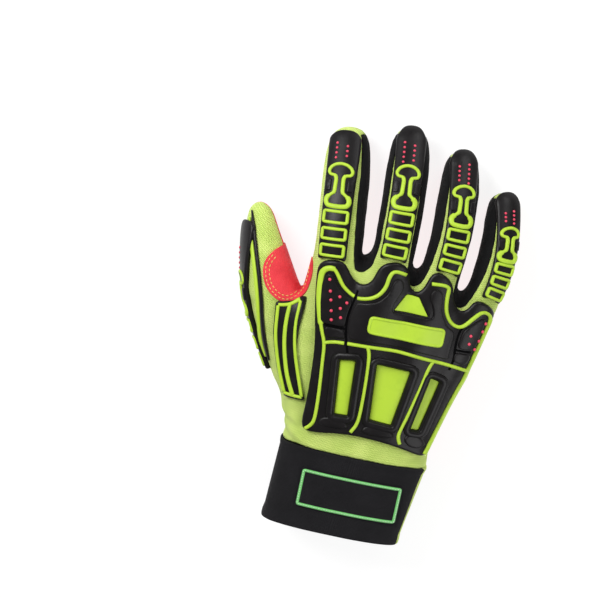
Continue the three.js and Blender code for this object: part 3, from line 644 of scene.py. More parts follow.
def joinMeshes(meshes):
    joined = bmesh.new()
    for bm in meshes:
        mesh = meshFrom(bm)
        joined.from_mesh(mesh)
        bpy.data.meshes.remove(mesh)
    return joined


# The guard over the back of the hand: points are shares of its width and length, from its
# lower middle, which lies across and along from the wrist seam
backGuard = {
    "width": 115 * mm, "length": 122 * mm, "across": 8.6 * mm, "along": 9 * mm,
    "thickness": 4 * mm, "rounding": 1.6 * mm, "ridgeWidth": 2.3 * mm, "ridgeHeight": 1.1 * mm,
    "wedge": {"across": -0.41, "along": 0.6, "widen": 1.5},
    "outline": [
        (-0.41, 0.03), (-0.411, 0.157), (-0.42, 0.348), (-0.437, 0.51), (-0.472, 0.668),
        (-0.492, 0.82), (-0.494, 0.9), (-0.45, 0.935), (-0.366, 0.938), (-0.325, 0.878),
        (-0.26, 0.84), (-0.196, 0.867), (-0.174, 0.949), (-0.13, 0.99), (-0.055, 0.998),
        (-0.015, 0.95), (0.0, 0.885), (0.058, 0.857), (0.098, 0.9), (0.12, 0.975),
        (0.175, 0.985), (0.235, 0.94), (0.25, 0.86), (0.3, 0.8), (0.355, 0.812),
        (0.386, 0.872), (0.45, 0.865), (0.498, 0.825), (0.482, 0.753), (0.455, 0.63),
        (0.4, 0.417), (0.334, 0.2), (0.292, 0.02), (0.255, 0.005), (0.125, 0.036),
        (-0.021, 0.05), (-0.192, 0.048), (-0.33, 0.02)],
    "windows": {
        "inner": [(-0.278, 0.433), (-0.195, 0.449), (-0.175, 0.151), (-0.248, 0.147)],
        "middle": [(-0.076, 0.451), (0.114, 0.446), (0.072, 0.146), (-0.05, 0.154)],
        "outer": [(0.232, 0.427), (0.286, 0.416), (0.227, 0.14), (0.182, 0.141)],
        "top": [(-0.004, 0.842), (0.078, 0.838), (0.142, 0.75), (-0.052, 0.752)]},
    "ridges": [
        [(-0.383, 0.031), (-0.351, 0.065), (-0.344, 0.116), (-0.352, 0.252), (-0.37, 0.414),
         (-0.384, 0.504), (-0.422, 0.595), (-0.456, 0.726), (-0.466, 0.823), (-0.462, 0.879),
         (-0.42, 0.899), (-0.393, 0.876), (-0.351, 0.819), (-0.298, 0.785), (-0.27, 0.777)],
        [(-0.25, 0.771), (-0.206, 0.778), (-0.154, 0.805), (-0.12, 0.861), (-0.111, 0.923),
         (-0.09, 0.955), (-0.036, 0.944)],
        [(-0.384, 0.504), (-0.33, 0.519), (-0.271, 0.526)],
        [(-0.253, 0.529), (-0.14, 0.537), (0.042, 0.541), (0.217, 0.523), (0.346, 0.511),
         (0.411, 0.496)],
        [(-0.151, 0.54), (-0.132, 0.5), (-0.118, 0.383), (-0.11, 0.219), (-0.113, 0.125),
         (-0.139, 0.069)],
        [(0.223, 0.526), (0.203, 0.481), (0.182, 0.373), (0.147, 0.216), (0.12, 0.106),
         (0.138, 0.055)],
        [(0.278, 0.017), (0.305, 0.128), (0.336, 0.244), (0.368, 0.355), (0.4, 0.45),
         (0.41, 0.501), (0.432, 0.588), (0.461, 0.716), (0.476, 0.8), (0.436, 0.826),
         (0.39, 0.778), (0.354, 0.732), (0.317, 0.719), (0.267, 0.737), (0.226, 0.795),
         (0.214, 0.874), (0.215, 0.918), (0.185, 0.929), (0.129, 0.923)]],
    "label": [(-0.168, 0.704), (0.246, 0.704), (0.25, 0.6), (-0.17, 0.608)],
    "fields": [
        [(-0.428, 0.606), (-0.45, 0.72), (-0.455, 0.82), (-0.438, 0.868), (-0.41, 0.864),
         (-0.368, 0.803), (-0.322, 0.77), (-0.272, 0.753), (-0.288, 0.68), (-0.286, 0.606)],
        [(-0.402, 0.592), (-0.286, 0.594), (-0.268, 0.55), (-0.39, 0.532)],
        [(-0.252, 0.75), (-0.2, 0.757), (-0.142, 0.778), (-0.1, 0.83), (-0.088, 0.9),
         (-0.064, 0.925), (-0.04, 0.905), (-0.028, 0.86), (-0.055, 0.805), (-0.068, 0.742),
         (0.168, 0.742), (0.158, 0.8), (0.128, 0.85), (0.142, 0.9), (0.182, 0.9),
         (0.194, 0.86), (0.204, 0.788), (0.25, 0.715), (0.308, 0.692), (0.3, 0.54),
         (0.217, 0.55), (0.042, 0.566), (-0.14, 0.562), (-0.252, 0.553), (-0.268, 0.6),
         (-0.27, 0.68)],
        [(0.352, 0.702), (0.386, 0.742), (0.432, 0.788), (0.452, 0.785), (0.444, 0.72),
         (0.42, 0.61), (0.338, 0.61)],
        [(0.332, 0.59), (0.414, 0.588), (0.394, 0.528), (0.326, 0.538)]],
    "scallops": [
        [(-0.322, 0.088), (-0.3, 0.118), (-0.24, 0.13), (-0.182, 0.12), (-0.162, 0.092),
         (-0.19, 0.076), (-0.25, 0.072), (-0.3, 0.072)],
        [(-0.082, 0.09), (-0.06, 0.118), (0.01, 0.128), (0.07, 0.118), (0.098, 0.094),
         (0.07, 0.078), (0.01, 0.074), (-0.06, 0.076)],
        [(0.156, 0.08), (0.17, 0.11), (0.21, 0.118), (0.25, 0.1), (0.27, 0.07),
         (0.24, 0.045), (0.19, 0.05)]],
    # Slits between the fields, each drawn as a near-black matte line of painted shade
    "grooveShadeLines": [
        [(-0.258, 0.81), (-0.262, 0.78), (-0.28, 0.679), (-0.277, 0.6), (-0.262, 0.54),
         (-0.239, 0.467)],
        [(0.352, 0.74), (0.331, 0.68), (0.328, 0.6), (0.332, 0.555), (0.318, 0.49)],
        [(-0.405, 0.599), (-0.28, 0.6)], [(0.333, 0.6), (0.408, 0.6)]],
    "dots": [
        (-0.419, 0.839), (-0.406, 0.78), (-0.395, 0.735), (-0.383, 0.68), (-0.372, 0.633),
        (-0.355, 0.761), (-0.337, 0.701), (-0.32, 0.653), (-0.304, 0.735),
        (0.444, 0.767), (0.436, 0.722), (0.387, 0.689), (0.426, 0.67), (0.385, 0.646),
        (0.413, 0.623)],
    "dotSize": 2.1 * mm, "grooveShadeWidth": 1.5 * mm, "grooveShadeHeight": 0.3 * mm,
    "fieldHeight": 1.2 * mm, "fieldCorner": 3 * mm, "fieldRounding": 0.8 * mm,
    "scallopHeight": 1.6 * mm, "scallopRounding": 1.4 * mm,
    "frameOut": 2.9 * mm, "frameWidth": 4.6 * mm, "frameHeight": 1.5 * mm,
    "paneHeight": {"inner": 1.8 * mm, "middle": 1.8 * mm, "outer": 1.8 * mm, "top": 3.4 * mm},
    "paneCorner": 0.8 * mm, "paneRounding": 0.4 * mm,
    "labelCorner": 3.5 * mm, "labelHeight": 1 * mm, "labelRounding": 0.6 * mm,
    "labelSunk": 0.3 * mm, "rimInward": 1 * mm, "rimWidth": 1.7 * mm, "rimHeight": 0.5 * mm,
    "rimSunk": 0.1 * mm,
}
dotShape = {"subdivisions": 2, "flatness": 0.7}


def aimBack(u, v):
    start = wristSeam + Vector((backGuard["across"] + u, backGuard["along"] + v, farOff))
    return start, Vector((0, 0, -1))


def dotRow(spots, size, low, aim):
    bm = bmesh.new()
    for u, v in spots:
        spot, normal = spotOn(hand, *aim(u, v))
        turn = normal.to_track_quat("Z", "Y").to_matrix().to_4x4()
        place = Matrix.Translation(spot + normal * low) @ turn
        flat = Matrix.Diagonal((1, 1, dotShape["flatness"], 1))
        bmesh.ops.create_icosphere(bm, subdivisions=dotShape["subdivisions"], radius=size / 2,
                                   matrix=place @ flat)
    return bm


def makeBackGuard():
    g = backGuard
    top = g["thickness"]

    def at(points):
        return scaled(points, g["width"], g["length"])

    def widen(u, v):
        wedge = g["wedge"]
        return wedge["widen"] if (u < wedge["across"] * g["width"]
                                  and v > wedge["along"] * g["length"]) else 1

    holes = {name: roundedLine(at(corners), g["paneCorner"])
             for name, corners in g["windows"].items()}
    outline = softened(smoothLine(at(g["outline"]), 4, True), 4, True)
    body = [flatPlate(outline, top, g["rounding"], 0, holes.values())]
    for corners in g["fields"]:
        body.append(flatPlate(roundedLine(at(corners), g["fieldCorner"]),
                              g["fieldHeight"] + plate["sunk"], g["fieldRounding"],
                              top - plate["sunk"]))
    for corners in g["scallops"]:
        body.append(flatPlate(smoothLine(at(corners), 4, True), g["scallopHeight"],
                              g["scallopRounding"], top - plate["sunk"]))
    for name, hole in holes.items():
        if name != "top":
            frameLine = finerLine(drawnIn(hole, -g["frameOut"]), plate["step"], True)
            body.append(flatRidge(frameLine, g["frameWidth"], g["frameHeight"], top, True))
    laidPiece("back_guard_body", joinMeshes(body), aimBack, blackRubber, "guard_rubber",
              ["back_guard"])
    # Painted shade: near-black matte lines laid in the slits between the raised fields
    grooveShadeLines = []
    for points in g["grooveShadeLines"]:
        line = softened(finerLine(smoothLine(at(points), 4), plate["step"]), 2)
        grooveShadeLines.append(flatRidge(line, g["grooveShadeWidth"], g["grooveShadeHeight"], top))
    laidPiece("back_guard_painted_groove_shade", joinMeshes(grooveShadeLines), aimBack, paintedGrooveShade, "guard_rubber")
    ridges = []
    for n, points in enumerate(g["ridges"]):
        line = softened(finerLine(smoothLine(at(points), 5), plate["fineStep"]), 6)
        ridges.append(flatRidge(line, g["ridgeWidth"], g["ridgeHeight"], top, False,
                                widen if n == 0 else None))
    laidPiece("back_guard_ridges", joinMeshes(ridges), aimBack, limeRubber, "lime_rubber")
    for name, hole in holes.items():
        pane = flatPlate(hole, g["paneHeight"][name], g["paneRounding"])
        laidPiece("back_guard_pane_" + name, pane, aimBack, limeRubber, "lime_rubber",
                  ["back_guard_window_" + name])
    outline = roundedLine(at(g["label"]), g["labelCorner"])
    base = top + g["fieldHeight"] - g["labelSunk"]
    rim = finerLine(drawnIn(outline, g["rimInward"]), plate["fineStep"], True)
    label = [flatPlate(outline, g["labelHeight"], g["labelRounding"], base),
             flatRidge(rim, g["rimWidth"], g["rimHeight"],
                       base + g["labelHeight"] - g["rimSunk"], True)]
    laidPiece("back_guard_label", joinMeshes(label), aimBack, limeRubber, "lime_rubber",
              ["back_guard_plate"])
    dots = dotRow(at(g["dots"]), g["dotSize"], top + g["fieldHeight"], aimBack)
    makePiece("back_guard_dots", dots, redRubber, "guard_rubber")


makeBackGuard()
print("back guard made")


# Fingers. roll: degrees that the back of the finger turns to the little-finger side. knuckle:
# share of the palm that its root lies further back. lean, bow: sideways drift, shares of its
# length. guard: share of it below the guard. patternShare: of the index guard's pattern.
palmLength = 127 * mm
fingers = {
    "index": {"length": 86, "width": 31, "height": 48, "roll": -11, "lean": -0.115, "bow": 0,
              "knuckle": 0.045, "guard": 0.015, "guardLength": 0.99, "aside": -1.4 * mm,
              "patternShare": 1},
    "middle": {"length": 88, "width": 28, "height": 52, "roll": 0, "lean": -0.055, "bow": 0.02,
               "knuckle": 0, "guard": 0.04, "guardLength": 1.06, "aside": 0,
               "patternShare": 0.99},
    "ring": {"length": 84, "width": 26.5, "height": 47, "roll": 15, "lean": -0.02, "bow": 0.045,
             "knuckle": 0.035, "guard": 0.07, "guardLength": 1.03, "aside": 0,
             "patternShare": 0.93},
    "pinky": {"length": 71, "width": 24, "height": 38, "roll": 26, "lean": 0, "bow": 0.075,
              "knuckle": 0.1, "guard": 0.03, "guardLength": 1.05, "aside": 0,
              "patternShare": 0.79},
}
knuckles = {"middle": 8 * mm, "web": 7 * mm, "rootShare": 0.9, "thick": 27 * mm,
            "fullWidth": 31 * mm, "thickShare": 0.6}
# Where a guard turns down; rise: how far its finger has bent at the root already
fingertip = {"start": 0.87, "radius": 11 * mm, "height": 0.325, "rise": 0.02}
thumb = {"root": (-0.645, 0.53), "palmWidth": 96 * mm, "reach": 92 * mm, "width": 28 * mm,
         "start": (-0.05, -0.28), "tip": (-0.368, 0.87), "nail": math.radians(66),
         "height": 0.55, "tipStart": 92 * mm, "guardLength": 98 * mm, "pattern": 92 * mm,
         "half": 8.6 * mm, "rootNarrow": 0.75, "rootAside": 6.5 * mm, "aside": -1.5 * mm,
         "asideEnd": 55 * mm}
fingerGuard = {
    "thickness": 3.2 * mm, "rounding": 1.2 * mm, "corner": 2.5 * mm, "half": 0.31,
    "ridgeWidth": 1.9 * mm, "ridgeHeight": 1 * mm, "ridgeCorner": 1 * mm,
    "blockHeight": 1.4 * mm, "blockRounding": 0.6 * mm, "blockCorner": 1 * mm,
    "sides": [(0.02, 0.5), (0, 0.9), (0.4, 0.96), (0.66, 1), (0.84, 1.02), (0.93, 0.94),
              (0.98, 0.74), (1, 0.42)],
    "pattern": 85 * mm,
    "frames": [(0.04, 0.117, 0.7), (0.162, 0.236, 0.71), (0.281, 0.36, 0.72)],
    "beam": [(0.395, 0.25), (0.4, 0.6), (0.425, 0.72), (0.455, 0.68), (0.478, 0.44),
             (0.495, 0.25), (0.59, 0.22), (0.612, 0.3), (0.617, 0.66), (0.64, 0.74),
             (0.668, 0.62), (0.688, 0.38), (0.696, 0.1)],
    "blocks": [(0.5, 0.5), (0.5, 0.88), (0.585, 0.88), (0.585, 0.5)],
    "dotSize": 1.7 * mm, "dotsAcross": 0.32, "dotsAside": -0.08,
    "dots": {"index": (4, 3), "middle": (5, 4), "ring": (4, 5), "pinky": (3, 4),
             "thumb": (5, 0)},
    "dotsMiddle": 0.8, "dotPitch": 0.035,
    "thick": [(0.38, 0.47, 1.5), (0.49, 0.61, 1.25)],     # where the beam's line is wider
}


def prepareFingers():
    span = sum(f["width"] * mm * knuckles["rootShare"] for f in fingers.values())
    edge = knuckles["middle"] - (span + 3 * knuckles["web"]) / 2
    for finger in fingers.values():
        for size in ("length", "width", "height"):
            finger[size] *= mm
        wide = finger["width"] * knuckles["rootShare"]
        finger["middle"] = edge + wide / 2
        finger["root"] = palmLength * (1 - finger["knuckle"])
        finger["thick"] = knuckles["thick"] * lerp(1, finger["width"] / knuckles["fullWidth"],
                                                   knuckles["thickShare"])
        edge += wide + knuckles["web"]


def fingerAim(finger, side=1):
    roll = math.radians(finger["roll"])
    out = Vector((math.sin(roll), 0, math.cos(roll))) * side

    def aim(u, v):
        reach = finger["guard"] + v / finger["length"]
        along = min(reach, fingertip["start"])
        turn = (reach - along) * finger["length"] / fingertip["radius"]
        drift = finger["lean"] * along + finger["bow"] * 4 * along * (1 - along)
        low = finger["height"] - finger["thick"] / 2
        fallen = min(1, fingertip["rise"] + along * along)
        z = lerp(low, finger["thick"] * fingertip["height"], fallen)
        spot = Vector((finger["middle"] + finger["length"] * drift,
                       finger["root"] + finger["length"] * along, z))
        ahead = Vector((finger["lean"] + finger["bow"] * 4 * (1 - 2 * along), 1, 0)).normalized()
        across = ahead.cross(out * side)
        away = out * math.cos(turn) + ahead * math.sin(turn)
        spot += across * (u + finger["aside"])
        return wristSeam + spot + away * skin["aimFrom"], -away
    return aim


def thumbAim(side=1):
    g = thumb
    base = Vector((g["root"][0] * g["palmWidth"], g["root"][1] * palmLength, 0))
    start, tip = (base + Vector((*g[end], 0)) * g["reach"] for end in ("start", "tip"))
    axis = (tip - start).normalized()
    out = Vector((0, 0, math.cos(g["nail"]))) - axis.cross(Vector((0, 0, 1))) * math.sin(g["nail"])
    across = axis.cross(out)
    start.z = g["height"] * g["width"]

    def aim(u, v):
        along = min(v, g["tipStart"])
        turn = (v - along) / fingertip["radius"]
        away = out * math.cos(turn) * side + axis * math.sin(turn)
        share = min(1, max(0, v / g["asideEnd"]))
        u = u * lerp(g["rootNarrow"], 1, share) + lerp(g["rootAside"], g["aside"], share)
        return wristSeam + start + across * u + axis * along + away * skin["aimFrom"], -away
    return aim


def mirrored(rows):
    return [(half, along) for along, half in rows] + [(-half, along) for along, half in rows[::-1]]


def makeFingerGuard(name, aim, length, pattern, half):
    g = fingerGuard
    top = g["thickness"]

    def widen(u, v):
        wider = [much for low, high, much in g["thick"] if low < v / pattern < high]
        return wider[0] if wider else 1

    outline = roundedLine(scaled(mirrored(g["sides"]), half, length), g["corner"])
    body = [flatPlate(outline, top, g["rounding"], step=plate["step"])]
    for side in (-1, 1):
        block = scaled([(side * wide, along) for along, wide in g["blocks"]], half, pattern)
        body.append(flatPlate(roundedLine(block, g["blockCorner"]), g["blockHeight"],
                              g["blockRounding"], top - plate["sunk"], step=plate["step"]))
    laidPiece(name + "_guard_body", joinMeshes(body), aim, blackRubber, "guard_rubber",
              [name + "_guard"])
    ridges = []
    shapes = [[(-wide, low), (wide, low), (wide, high), (-wide, high)]
              for low, high, wide in g["frames"]] + [mirrored(g["beam"])]
    for corners in shapes:
        line = finerLine(roundedLine(scaled(corners, half, pattern), g["ridgeCorner"]),
                         plate["fineStep"], True)
        ridges.append(flatRidge(line, g["ridgeWidth"], g["ridgeHeight"], top, True, widen))
    inlays = [f"{name}_guard_{part}"
              for part in ("frame_low", "frame_middle", "frame_high", "beam")]
    laidPiece(name + "_guard_ridges", joinMeshes(ridges), aim, limeRubber, "lime_rubber", inlays)
    spots = [((side * g["dotsAcross"] + g["dotsAside"]) * half,
              (g["dotsMiddle"] + g["dotPitch"] * (n - count / 2)) * pattern)
             for side, count in zip((-1, 1), g["dots"][name]) for n in range(count)]
    makePiece(name + "_guard_dots", dotRow(spots, g["dotSize"], top, aim), redRubber,
              "guard_rubber")


prepareFingers()
for name, finger in fingers.items():
    makeFingerGuard(name, fingerAim(finger), finger["length"] * finger["guardLength"],
                    fingerGuard["pattern"] * finger["patternShare"],
                    finger["width"] * fingerGuard["half"])
makeFingerGuard("thumb", thumbAim(), thumb["guardLength"], thumb["pattern"], thumb["half"])
print("finger guards made")


# The guards between thumb and hand, laid out in mm from the wrist seam
webGuard = {
    "outline": [(-71.3, 88.1), (-70.1, 79.2), (-68.8, 68.8), (-65.8, 58.6), (-61.3, 46.1),
                (-55.5, 33.9), (-52.5, 29.3), (-45.2, 29.6), (-39.9, 30.1), (-44.2, 37.8),
                (-49.4, 49.9), (-52.2, 62.4), (-53.2, 75.3), (-52.3, 87.3), (-52.4, 96.2),
                (-60, 90.6)],
    "lines": {"left": [(-69.2, 86), (-68.4, 79.5), (-66.9, 69.1), (-64.1, 59), (-59.5, 46.5),
                       (-53, 32.6)],
              "middle": [(-62, 88), (-62, 77.8), (-60.9, 68.1), (-58.4, 57.3), (-53.7, 43.8),
                         (-47.6, 31.8)],
              "right": [(-54.9, 92), (-55.6, 80.7), (-54.4, 69.8), (-51.8, 59.2), (-47.6, 47),
                        (-42.2, 32.4)],
              "upper": [(-69.2, 86.4), (-62, 88), (-55, 92.4)],
              "lower": [(-53, 32.2), (-47.6, 31.8), (-42, 32)]},
    "thickness": 3 * mm, "rounding": 1.2 * mm, "lineWidth": 2.1 * mm, "lineHeight": 1 * mm,
    "middleWider": 1.25, "corner": 2 * mm, "cut": 2.2 * mm,
}
thumbStripes = {
    "lime": [(-98.6, 134.5), (-96.6, 126.8), (-92, 114), (-86.9, 99.5), (-83, 87), (-79.6, 74.4),
             (-75.6, 61), (-70, 50)],
    "black": [(-98.2, 139), (-96.2, 133.4), (-93.2, 124.4), (-89.2, 113), (-84.3, 99),
              (-80.4, 86.6), (-77.1, 74), (-73, 61), (-67.5, 48.5)],
    "limeWidth": 2.6 * mm, "blackWidth": 2.4 * mm, "height": 2 * mm, "endWidth": 0.35,
    "taper": 14 * mm,
}


def aimPlan(u, v):
    return wristSeam + Vector((u, v, farOff)), Vector((0, 0, -1))


def planLine(points):
    return [Vector(point) * mm for point in points]


def makeWebGuard():
    g = webGuard
    body = flatPlate(roundedLine(planLine(g["outline"]), g["corner"]), g["thickness"],
                     g["rounding"], step=g["cut"])
    laidPiece("web_guard_body", body, aimPlan, blackRubber, "guard_rubber", ["web_guard"])
    ridges = []
    for name, points in g["lines"].items():
        line = finerLine(smoothLine(planLine(points), 4), plate["step"])
        wide = g["lineWidth"] * (g["middleWider"] if name == "middle" else 1)
        ridges.append(flatRidge(line, wide, g["lineHeight"], g["thickness"]))
    laidPiece("web_guard_ridges", joinMeshes(ridges), aimPlan, limeRubber, "lime_rubber",
              ["web_guard_frame"])


def makeThumbStripes():
    g = thumbStripes
    for name, material, slot in (("lime", limeRubber, "lime_rubber"),
                                 ("black", blackRubber, "guard_rubber")):
        line = finerLine(smoothLine(planLine(g[name]), 4), plate["step"])

        def taper(u, v):
            toEnd = min(line[0].y - v, v - line[-1].y)
            return min(1, g["endWidth"] + toEnd / g["taper"])
        stripe = flatRidge(line, g[name + "Width"], g["height"] / 2, g["height"] / 2, False,
                           taper)
        laidPiece("thumb_guard_stripe_" + name, stripe, aimPlan, material, slot)


makeWebGuard()
makeThumbStripes()
print("web guard made")


# Sewing
thread = {"pitch": 2.7 * mm, "length": 2 * mm, "width": 0.6 * mm, "height": 0.4 * mm,
          "apart": 0.95 * mm, "longest": 1.8, "raised": 0.1 * mm}
stitchShape = {"u_segments": 6, "v_segments": 4, "radius": 1}


def sideLine(points, offset):
    last = len(points) - 1
    moved = []
    for n, here in enumerate(points):
        run = (points[min(n + 1, last)] - points[max(n - 1, 0)]).normalized()
        moved.append(here + Vector((-run.y, run.x)) * offset)
    return moved


def sew(points, place, size=1):
    # One matrix for each stitch; those that would stretch over an edge are left out
    stitches = []
    left = 0
    for here, there in zip(points, points[1:]):
        run = (there - here).normalized() * thread["length"] * size / 2
        while left < (there - here).length:
            spot = here + run.normalized() * left
            left += thread["pitch"] * size
            first, normal = place(*(spot - run))
            last, _ = place(*(spot + run))
            along = last - first
            if along.length > thread["length"] * size * thread["longest"]:
                continue
            side = normal.cross(along).normalized()
            turn = Matrix((along.normalized(), side, normal)).transposed().to_4x4()
            shape = Matrix.Diagonal((along.length / 2, thread["width"] * size / 2,
                                     thread["height"] * size, 1))
            middle = Matrix.Translation((first + last) / 2 + normal * thread["raised"])
            stitches.append(middle @ turn @ shape)
        left -= (there - here).length
    return stitches


def makeStitches(name, stitches, material, slot, batch=40):
    # In batches, because an operator slows down as its mesh grows
    batches = []
    for first in range(0, len(stitches), batch):
        bm = bmesh.new()
        for place in stitches[first:first + batch]:
            bmesh.ops.create_uvsphere(bm, matrix=place, **stitchShape)
        batches.append(bm)
    print(name, len(stitches), "stitches")
    makePiece(name, joinMeshes(batches), material, slot)


def placeWith(aim, surface=hand, lift=0):
    def place(u, v):
        spot, normal = spotOn(surface, *aim(u, v))
        return spot + normal * lift, normal
    return place


def doubleSeam(points, place):
    return [stitch for side in (-1, 1)
            for stitch in sew(sideLine(points, side * thread["apart"]), place)]


# Palm seams in mm from the wrist seam, as seen through the hand
palmSeams = [
    [(-31, 100.5), (-20, 102), (-11, 102.3), (2, 100.7), (24, 96.7), (44, 91), (58, 85)],
    [(-46.4, 117.5), (-38.4, 112.7), (-33.6, 103), (-33.6, 93.5), (-39, 84),
     (-44.5, 76), (-47, 69)],
    [(-58.5, 90), (-54.5, 80), (-47, 69)],
    [(-42.4, 80), (-33.6, 77.4), (-23.9, 71), (-14.3, 62.9), (-7.9, 53.3), (-3.8, 42),
     (-5.5, 29.2), (-11.1, 17.9), (-17.5, 9.5), (-24, 5)],
    [(11.3, 112), (12, 99.9), (11.5, 84), (11, 66)],
    [(44.3, 105), (44.9, 90), (42.8, 52), (40.5, 18)],
    [(-16, 66.1), (11, 66.6), (43.4, 62)],
    [(-3.8, 42.6), (20, 42.2), (42, 39)],
    [(-10.6, 18), (10, 19.4), (40.5, 18)],
]
crotches = {"spots": [(-22.6, 124), (11.8, 122.5), (44.4, 115.5)], "radius": 8.6 * mm,
            "turns": range(-205, 21, 9)}
thumbSeams = [[(-13, 56), (-2, 55), (10, 52)], [(10, 52), (9, 40), (3, 30), (-6, 24)]]
padShare = 0.42     # one unit across in the pad seams, of the finger's width
padSeams = [
    [(-0.9, 0.66), (-0.7, 0.5), (-0.42, 0.4), (-0.15, 0.37), (0.15, 0.37), (0.42, 0.4), (0.7, 0.5),
     (0.9, 0.66)],
    [(-1.05, 0.36), (-0.8, 0.32), (-0.52, 0.33), (-0.38, 0.38)],
    [(0.38, 0.38), (0.52, 0.33), (0.8, 0.32), (1.05, 0.36)],
]


def aimUnder(u, v):
    return wristSeam + Vector((u, v, -farOff)), Vector((0, 0, 1))


def makePalmSewing():
    stitches = []

    def sewAll(lines, place):
        for line in lines:
            stitches.extend(doubleSeam(smoothLine(line, 6), place))

    place = placeWith(aimUnder)
    sewAll([planLine(points) for points in palmSeams], place)
    for middle in crotches["spots"]:
        ring = [Vector(middle) * mm + crotches["radius"] * Vector((math.cos(turn), math.sin(turn)))
                for turn in map(math.radians, crotches["turns"])]
        stitches += doubleSeam(ring, place)
    for finger in fingers.values():
        sewAll([scaled(points, finger["width"] * padShare, finger["length"])
                for points in padSeams], placeWith(fingerAim(finger, -1)))
    sewAll([planLine(points) for points in thumbSeams], placeWith(thumbAim(-1)))
    faces, tree = hand[0].faces, hand[1]
    palmIndex = list(panels).index("palm_panel")
    onPalm = [stitch for stitch in stitches
              if faces[tree.find_nearest(stitch.translation)[2]].material_index == palmIndex]
    makeStitches("palm_stitches", onPalm, yellowThread, "red_leather")


makePalmSewing()
print("palm sewn")


# The patch over the crotch of the thumb: the skin inside its outline, raised
saddlePatch = {
    "outline": [(-81.4, 115.6), (-83.6, 109.8), (-83, 103.2), (-79.8, 96.2), (-74.4, 91),
                (-68.2, 88.6), (-62.2, 89.3), (-56.7, 93.1), (-53.6, 97.7), (-52.3, 103.8),
                (-52.1, 112.2), (-54.5, 120), (-63, 123.5), (-72, 122.8), (-77.6, 120)],
    "thickness": 1.1 * mm, "lift": 1.0 * mm, "low": 12 * mm,
    "rows": (1.7 * mm, 3.9 * mm), "rowPoints": 34,     # the rows stop at the crotch
    "boxShare": 0.8,     # of its box that the flat patch fills
}


def makeSaddlePatch():
    g = saddlePatch
    outline = smoothLine(planLine(g["outline"]), 3, True)
    bm = hand[0].copy()
    cuts = [(wristSeam + here.to_3d(), ((there - here).y, (here - there).x, 0))
            for here, there in zip(outline, outline[1:] + outline[:1])]
    for spot, facing in cuts + [((0, 0, g["low"]), (0, 0, -1))]:
        bmesh.ops.bisect_plane(bm, geom=bm.verts[:] + bm.edges[:] + bm.faces[:],
                               plane_co=spot, plane_no=facing, clear_outer=True)
    bm.normal_update()
    for vert in bm.verts:
        vert.co += vert.normal * g["lift"]
    for face in bm.faces:
        face.material_index = 0
    patchTree = BVHTree.FromBMesh(bm)
    piece = makePiece("saddle_patch_cloth", bm, redLeather, "red_leather", ["saddle_patch"])
    area = sum(polygon.area for polygon in piece.data.polygons)
    wide, long = (max(values) - min(values) for values in zip(*outline))
    size = math.sqrt(area / (g["boxShare"] * wide * long))
    declareSheet(piece, (wide * size, long * size), area)
    addWall(piece, g["thickness"])
    place = placeWith(aimPlan, hand, g["lift"])
    stitches = [stitch for inward in g["rows"]
                for stitch in sew(drawnIn(outline, inward)[:g["rowPoints"]], place)
                if patchTree.find_nearest(stitch.translation)[3] < g["lift"] / 2]
    makeStitches("saddle_patch_stitches", stitches, yellowThread, "red_leather")


makeSaddlePatch()
print("saddle patch made")


# The cuff, in mm: a flattened tube that narrows to its opening, lime gore down its outer side.
# Turns are shares of the way around, from the middle of the palm side.
cuff = {"wide": 96, "openWide": 90, "tall": 22, "length": 53, "around": 216, "lean": 5,
        "middle": (-1.7, 25.8), "sidePower": 0.8, "facePower": 0.62, "lowest": 3.7,
        "goreTurn": 0.745, "goreWidth": 16, "goreGap": 0.4, "wall": 2.6,
        "hem": 0.7, "topHem": 0.06, "openHem": 0.13, "hemSteepness": 12, "ripple": 0.35,
        "ripplesAround": 3, "ripplesAlong": 2, "edge": 0.6, "edgeAngle": math.radians(60),
        "stepsAlong": 40, "stepsAround": 180, "goreSteps": 16}


def signedPower(value, power):
    return math.copysign(abs(value) ** power, value)


def cuffSpot(turn, along):
    g = cuff
    angle = turn * 2 * math.pi
    around = Vector((math.sin(angle), math.cos(angle))) * g["ripplesAround"]
    ripple = noise.noise(Vector((*around, along * g["ripplesAlong"])))
    hems = (max(0, 1 - along / g["topHem"]) ** 0.5
            + min(1, max(0, (along - 1 + g["openHem"]) * g["hemSteepness"])))
    out = g["hem"] * hems + g["ripple"] * ripple
    half = lerp(g["wide"], g["openWide"], along) / 2 + out
    x = g["middle"][0] - g["lean"] * along - signedPower(math.sin(angle), g["sidePower"]) * half
    y = -seamGap / mm - g["length"] * along
    z = g["middle"][1] - signedPower(math.cos(angle), g["facePower"]) * (g["tall"] + out)
    return wristSeam + Vector((x, y, max(z, g["lowest"]))) * mm


def cuffCloth(name, turns, steps, material, slot):
    g = cuff
    bm = bmesh.new()
    bmesh.ops.create_grid(bm, x_segments=steps, y_segments=g["stepsAlong"], size=0.5)
    flat = ((turns[1] - turns[0]) * g["around"] * mm, g["length"] * mm)
    mapFlat(bm, *flat)
    for vert in bm.verts:
        vert.co = cuffSpot(lerp(*turns, vert.co.x + 0.5), vert.co.y + 0.5)
    bm.normal_update()
    middle = wristSeam + Vector((0, 0, g["middle"][1] * mm))
    if sum(face.normal.dot((face.calc_center_median() - middle) * Vector((1, 0, 1)))
           for face in bm.faces) < 0:
        bmesh.ops.reverse_faces(bm, faces=bm.faces)
    outer = surfaceOf(bm.copy())
    piece = makePiece(name + "_cloth", bm, material, slot, [name])
    addWall(piece, g["wall"] * mm)
    edge = piece.modifiers.new("edge", "BEVEL")
    edge.width = g["edge"] * mm
    edge.segments = 2
    edge.limit_method = "ANGLE"
    edge.angle_limit = g["edgeAngle"]
    declareSheet(piece, flat)
    return outer


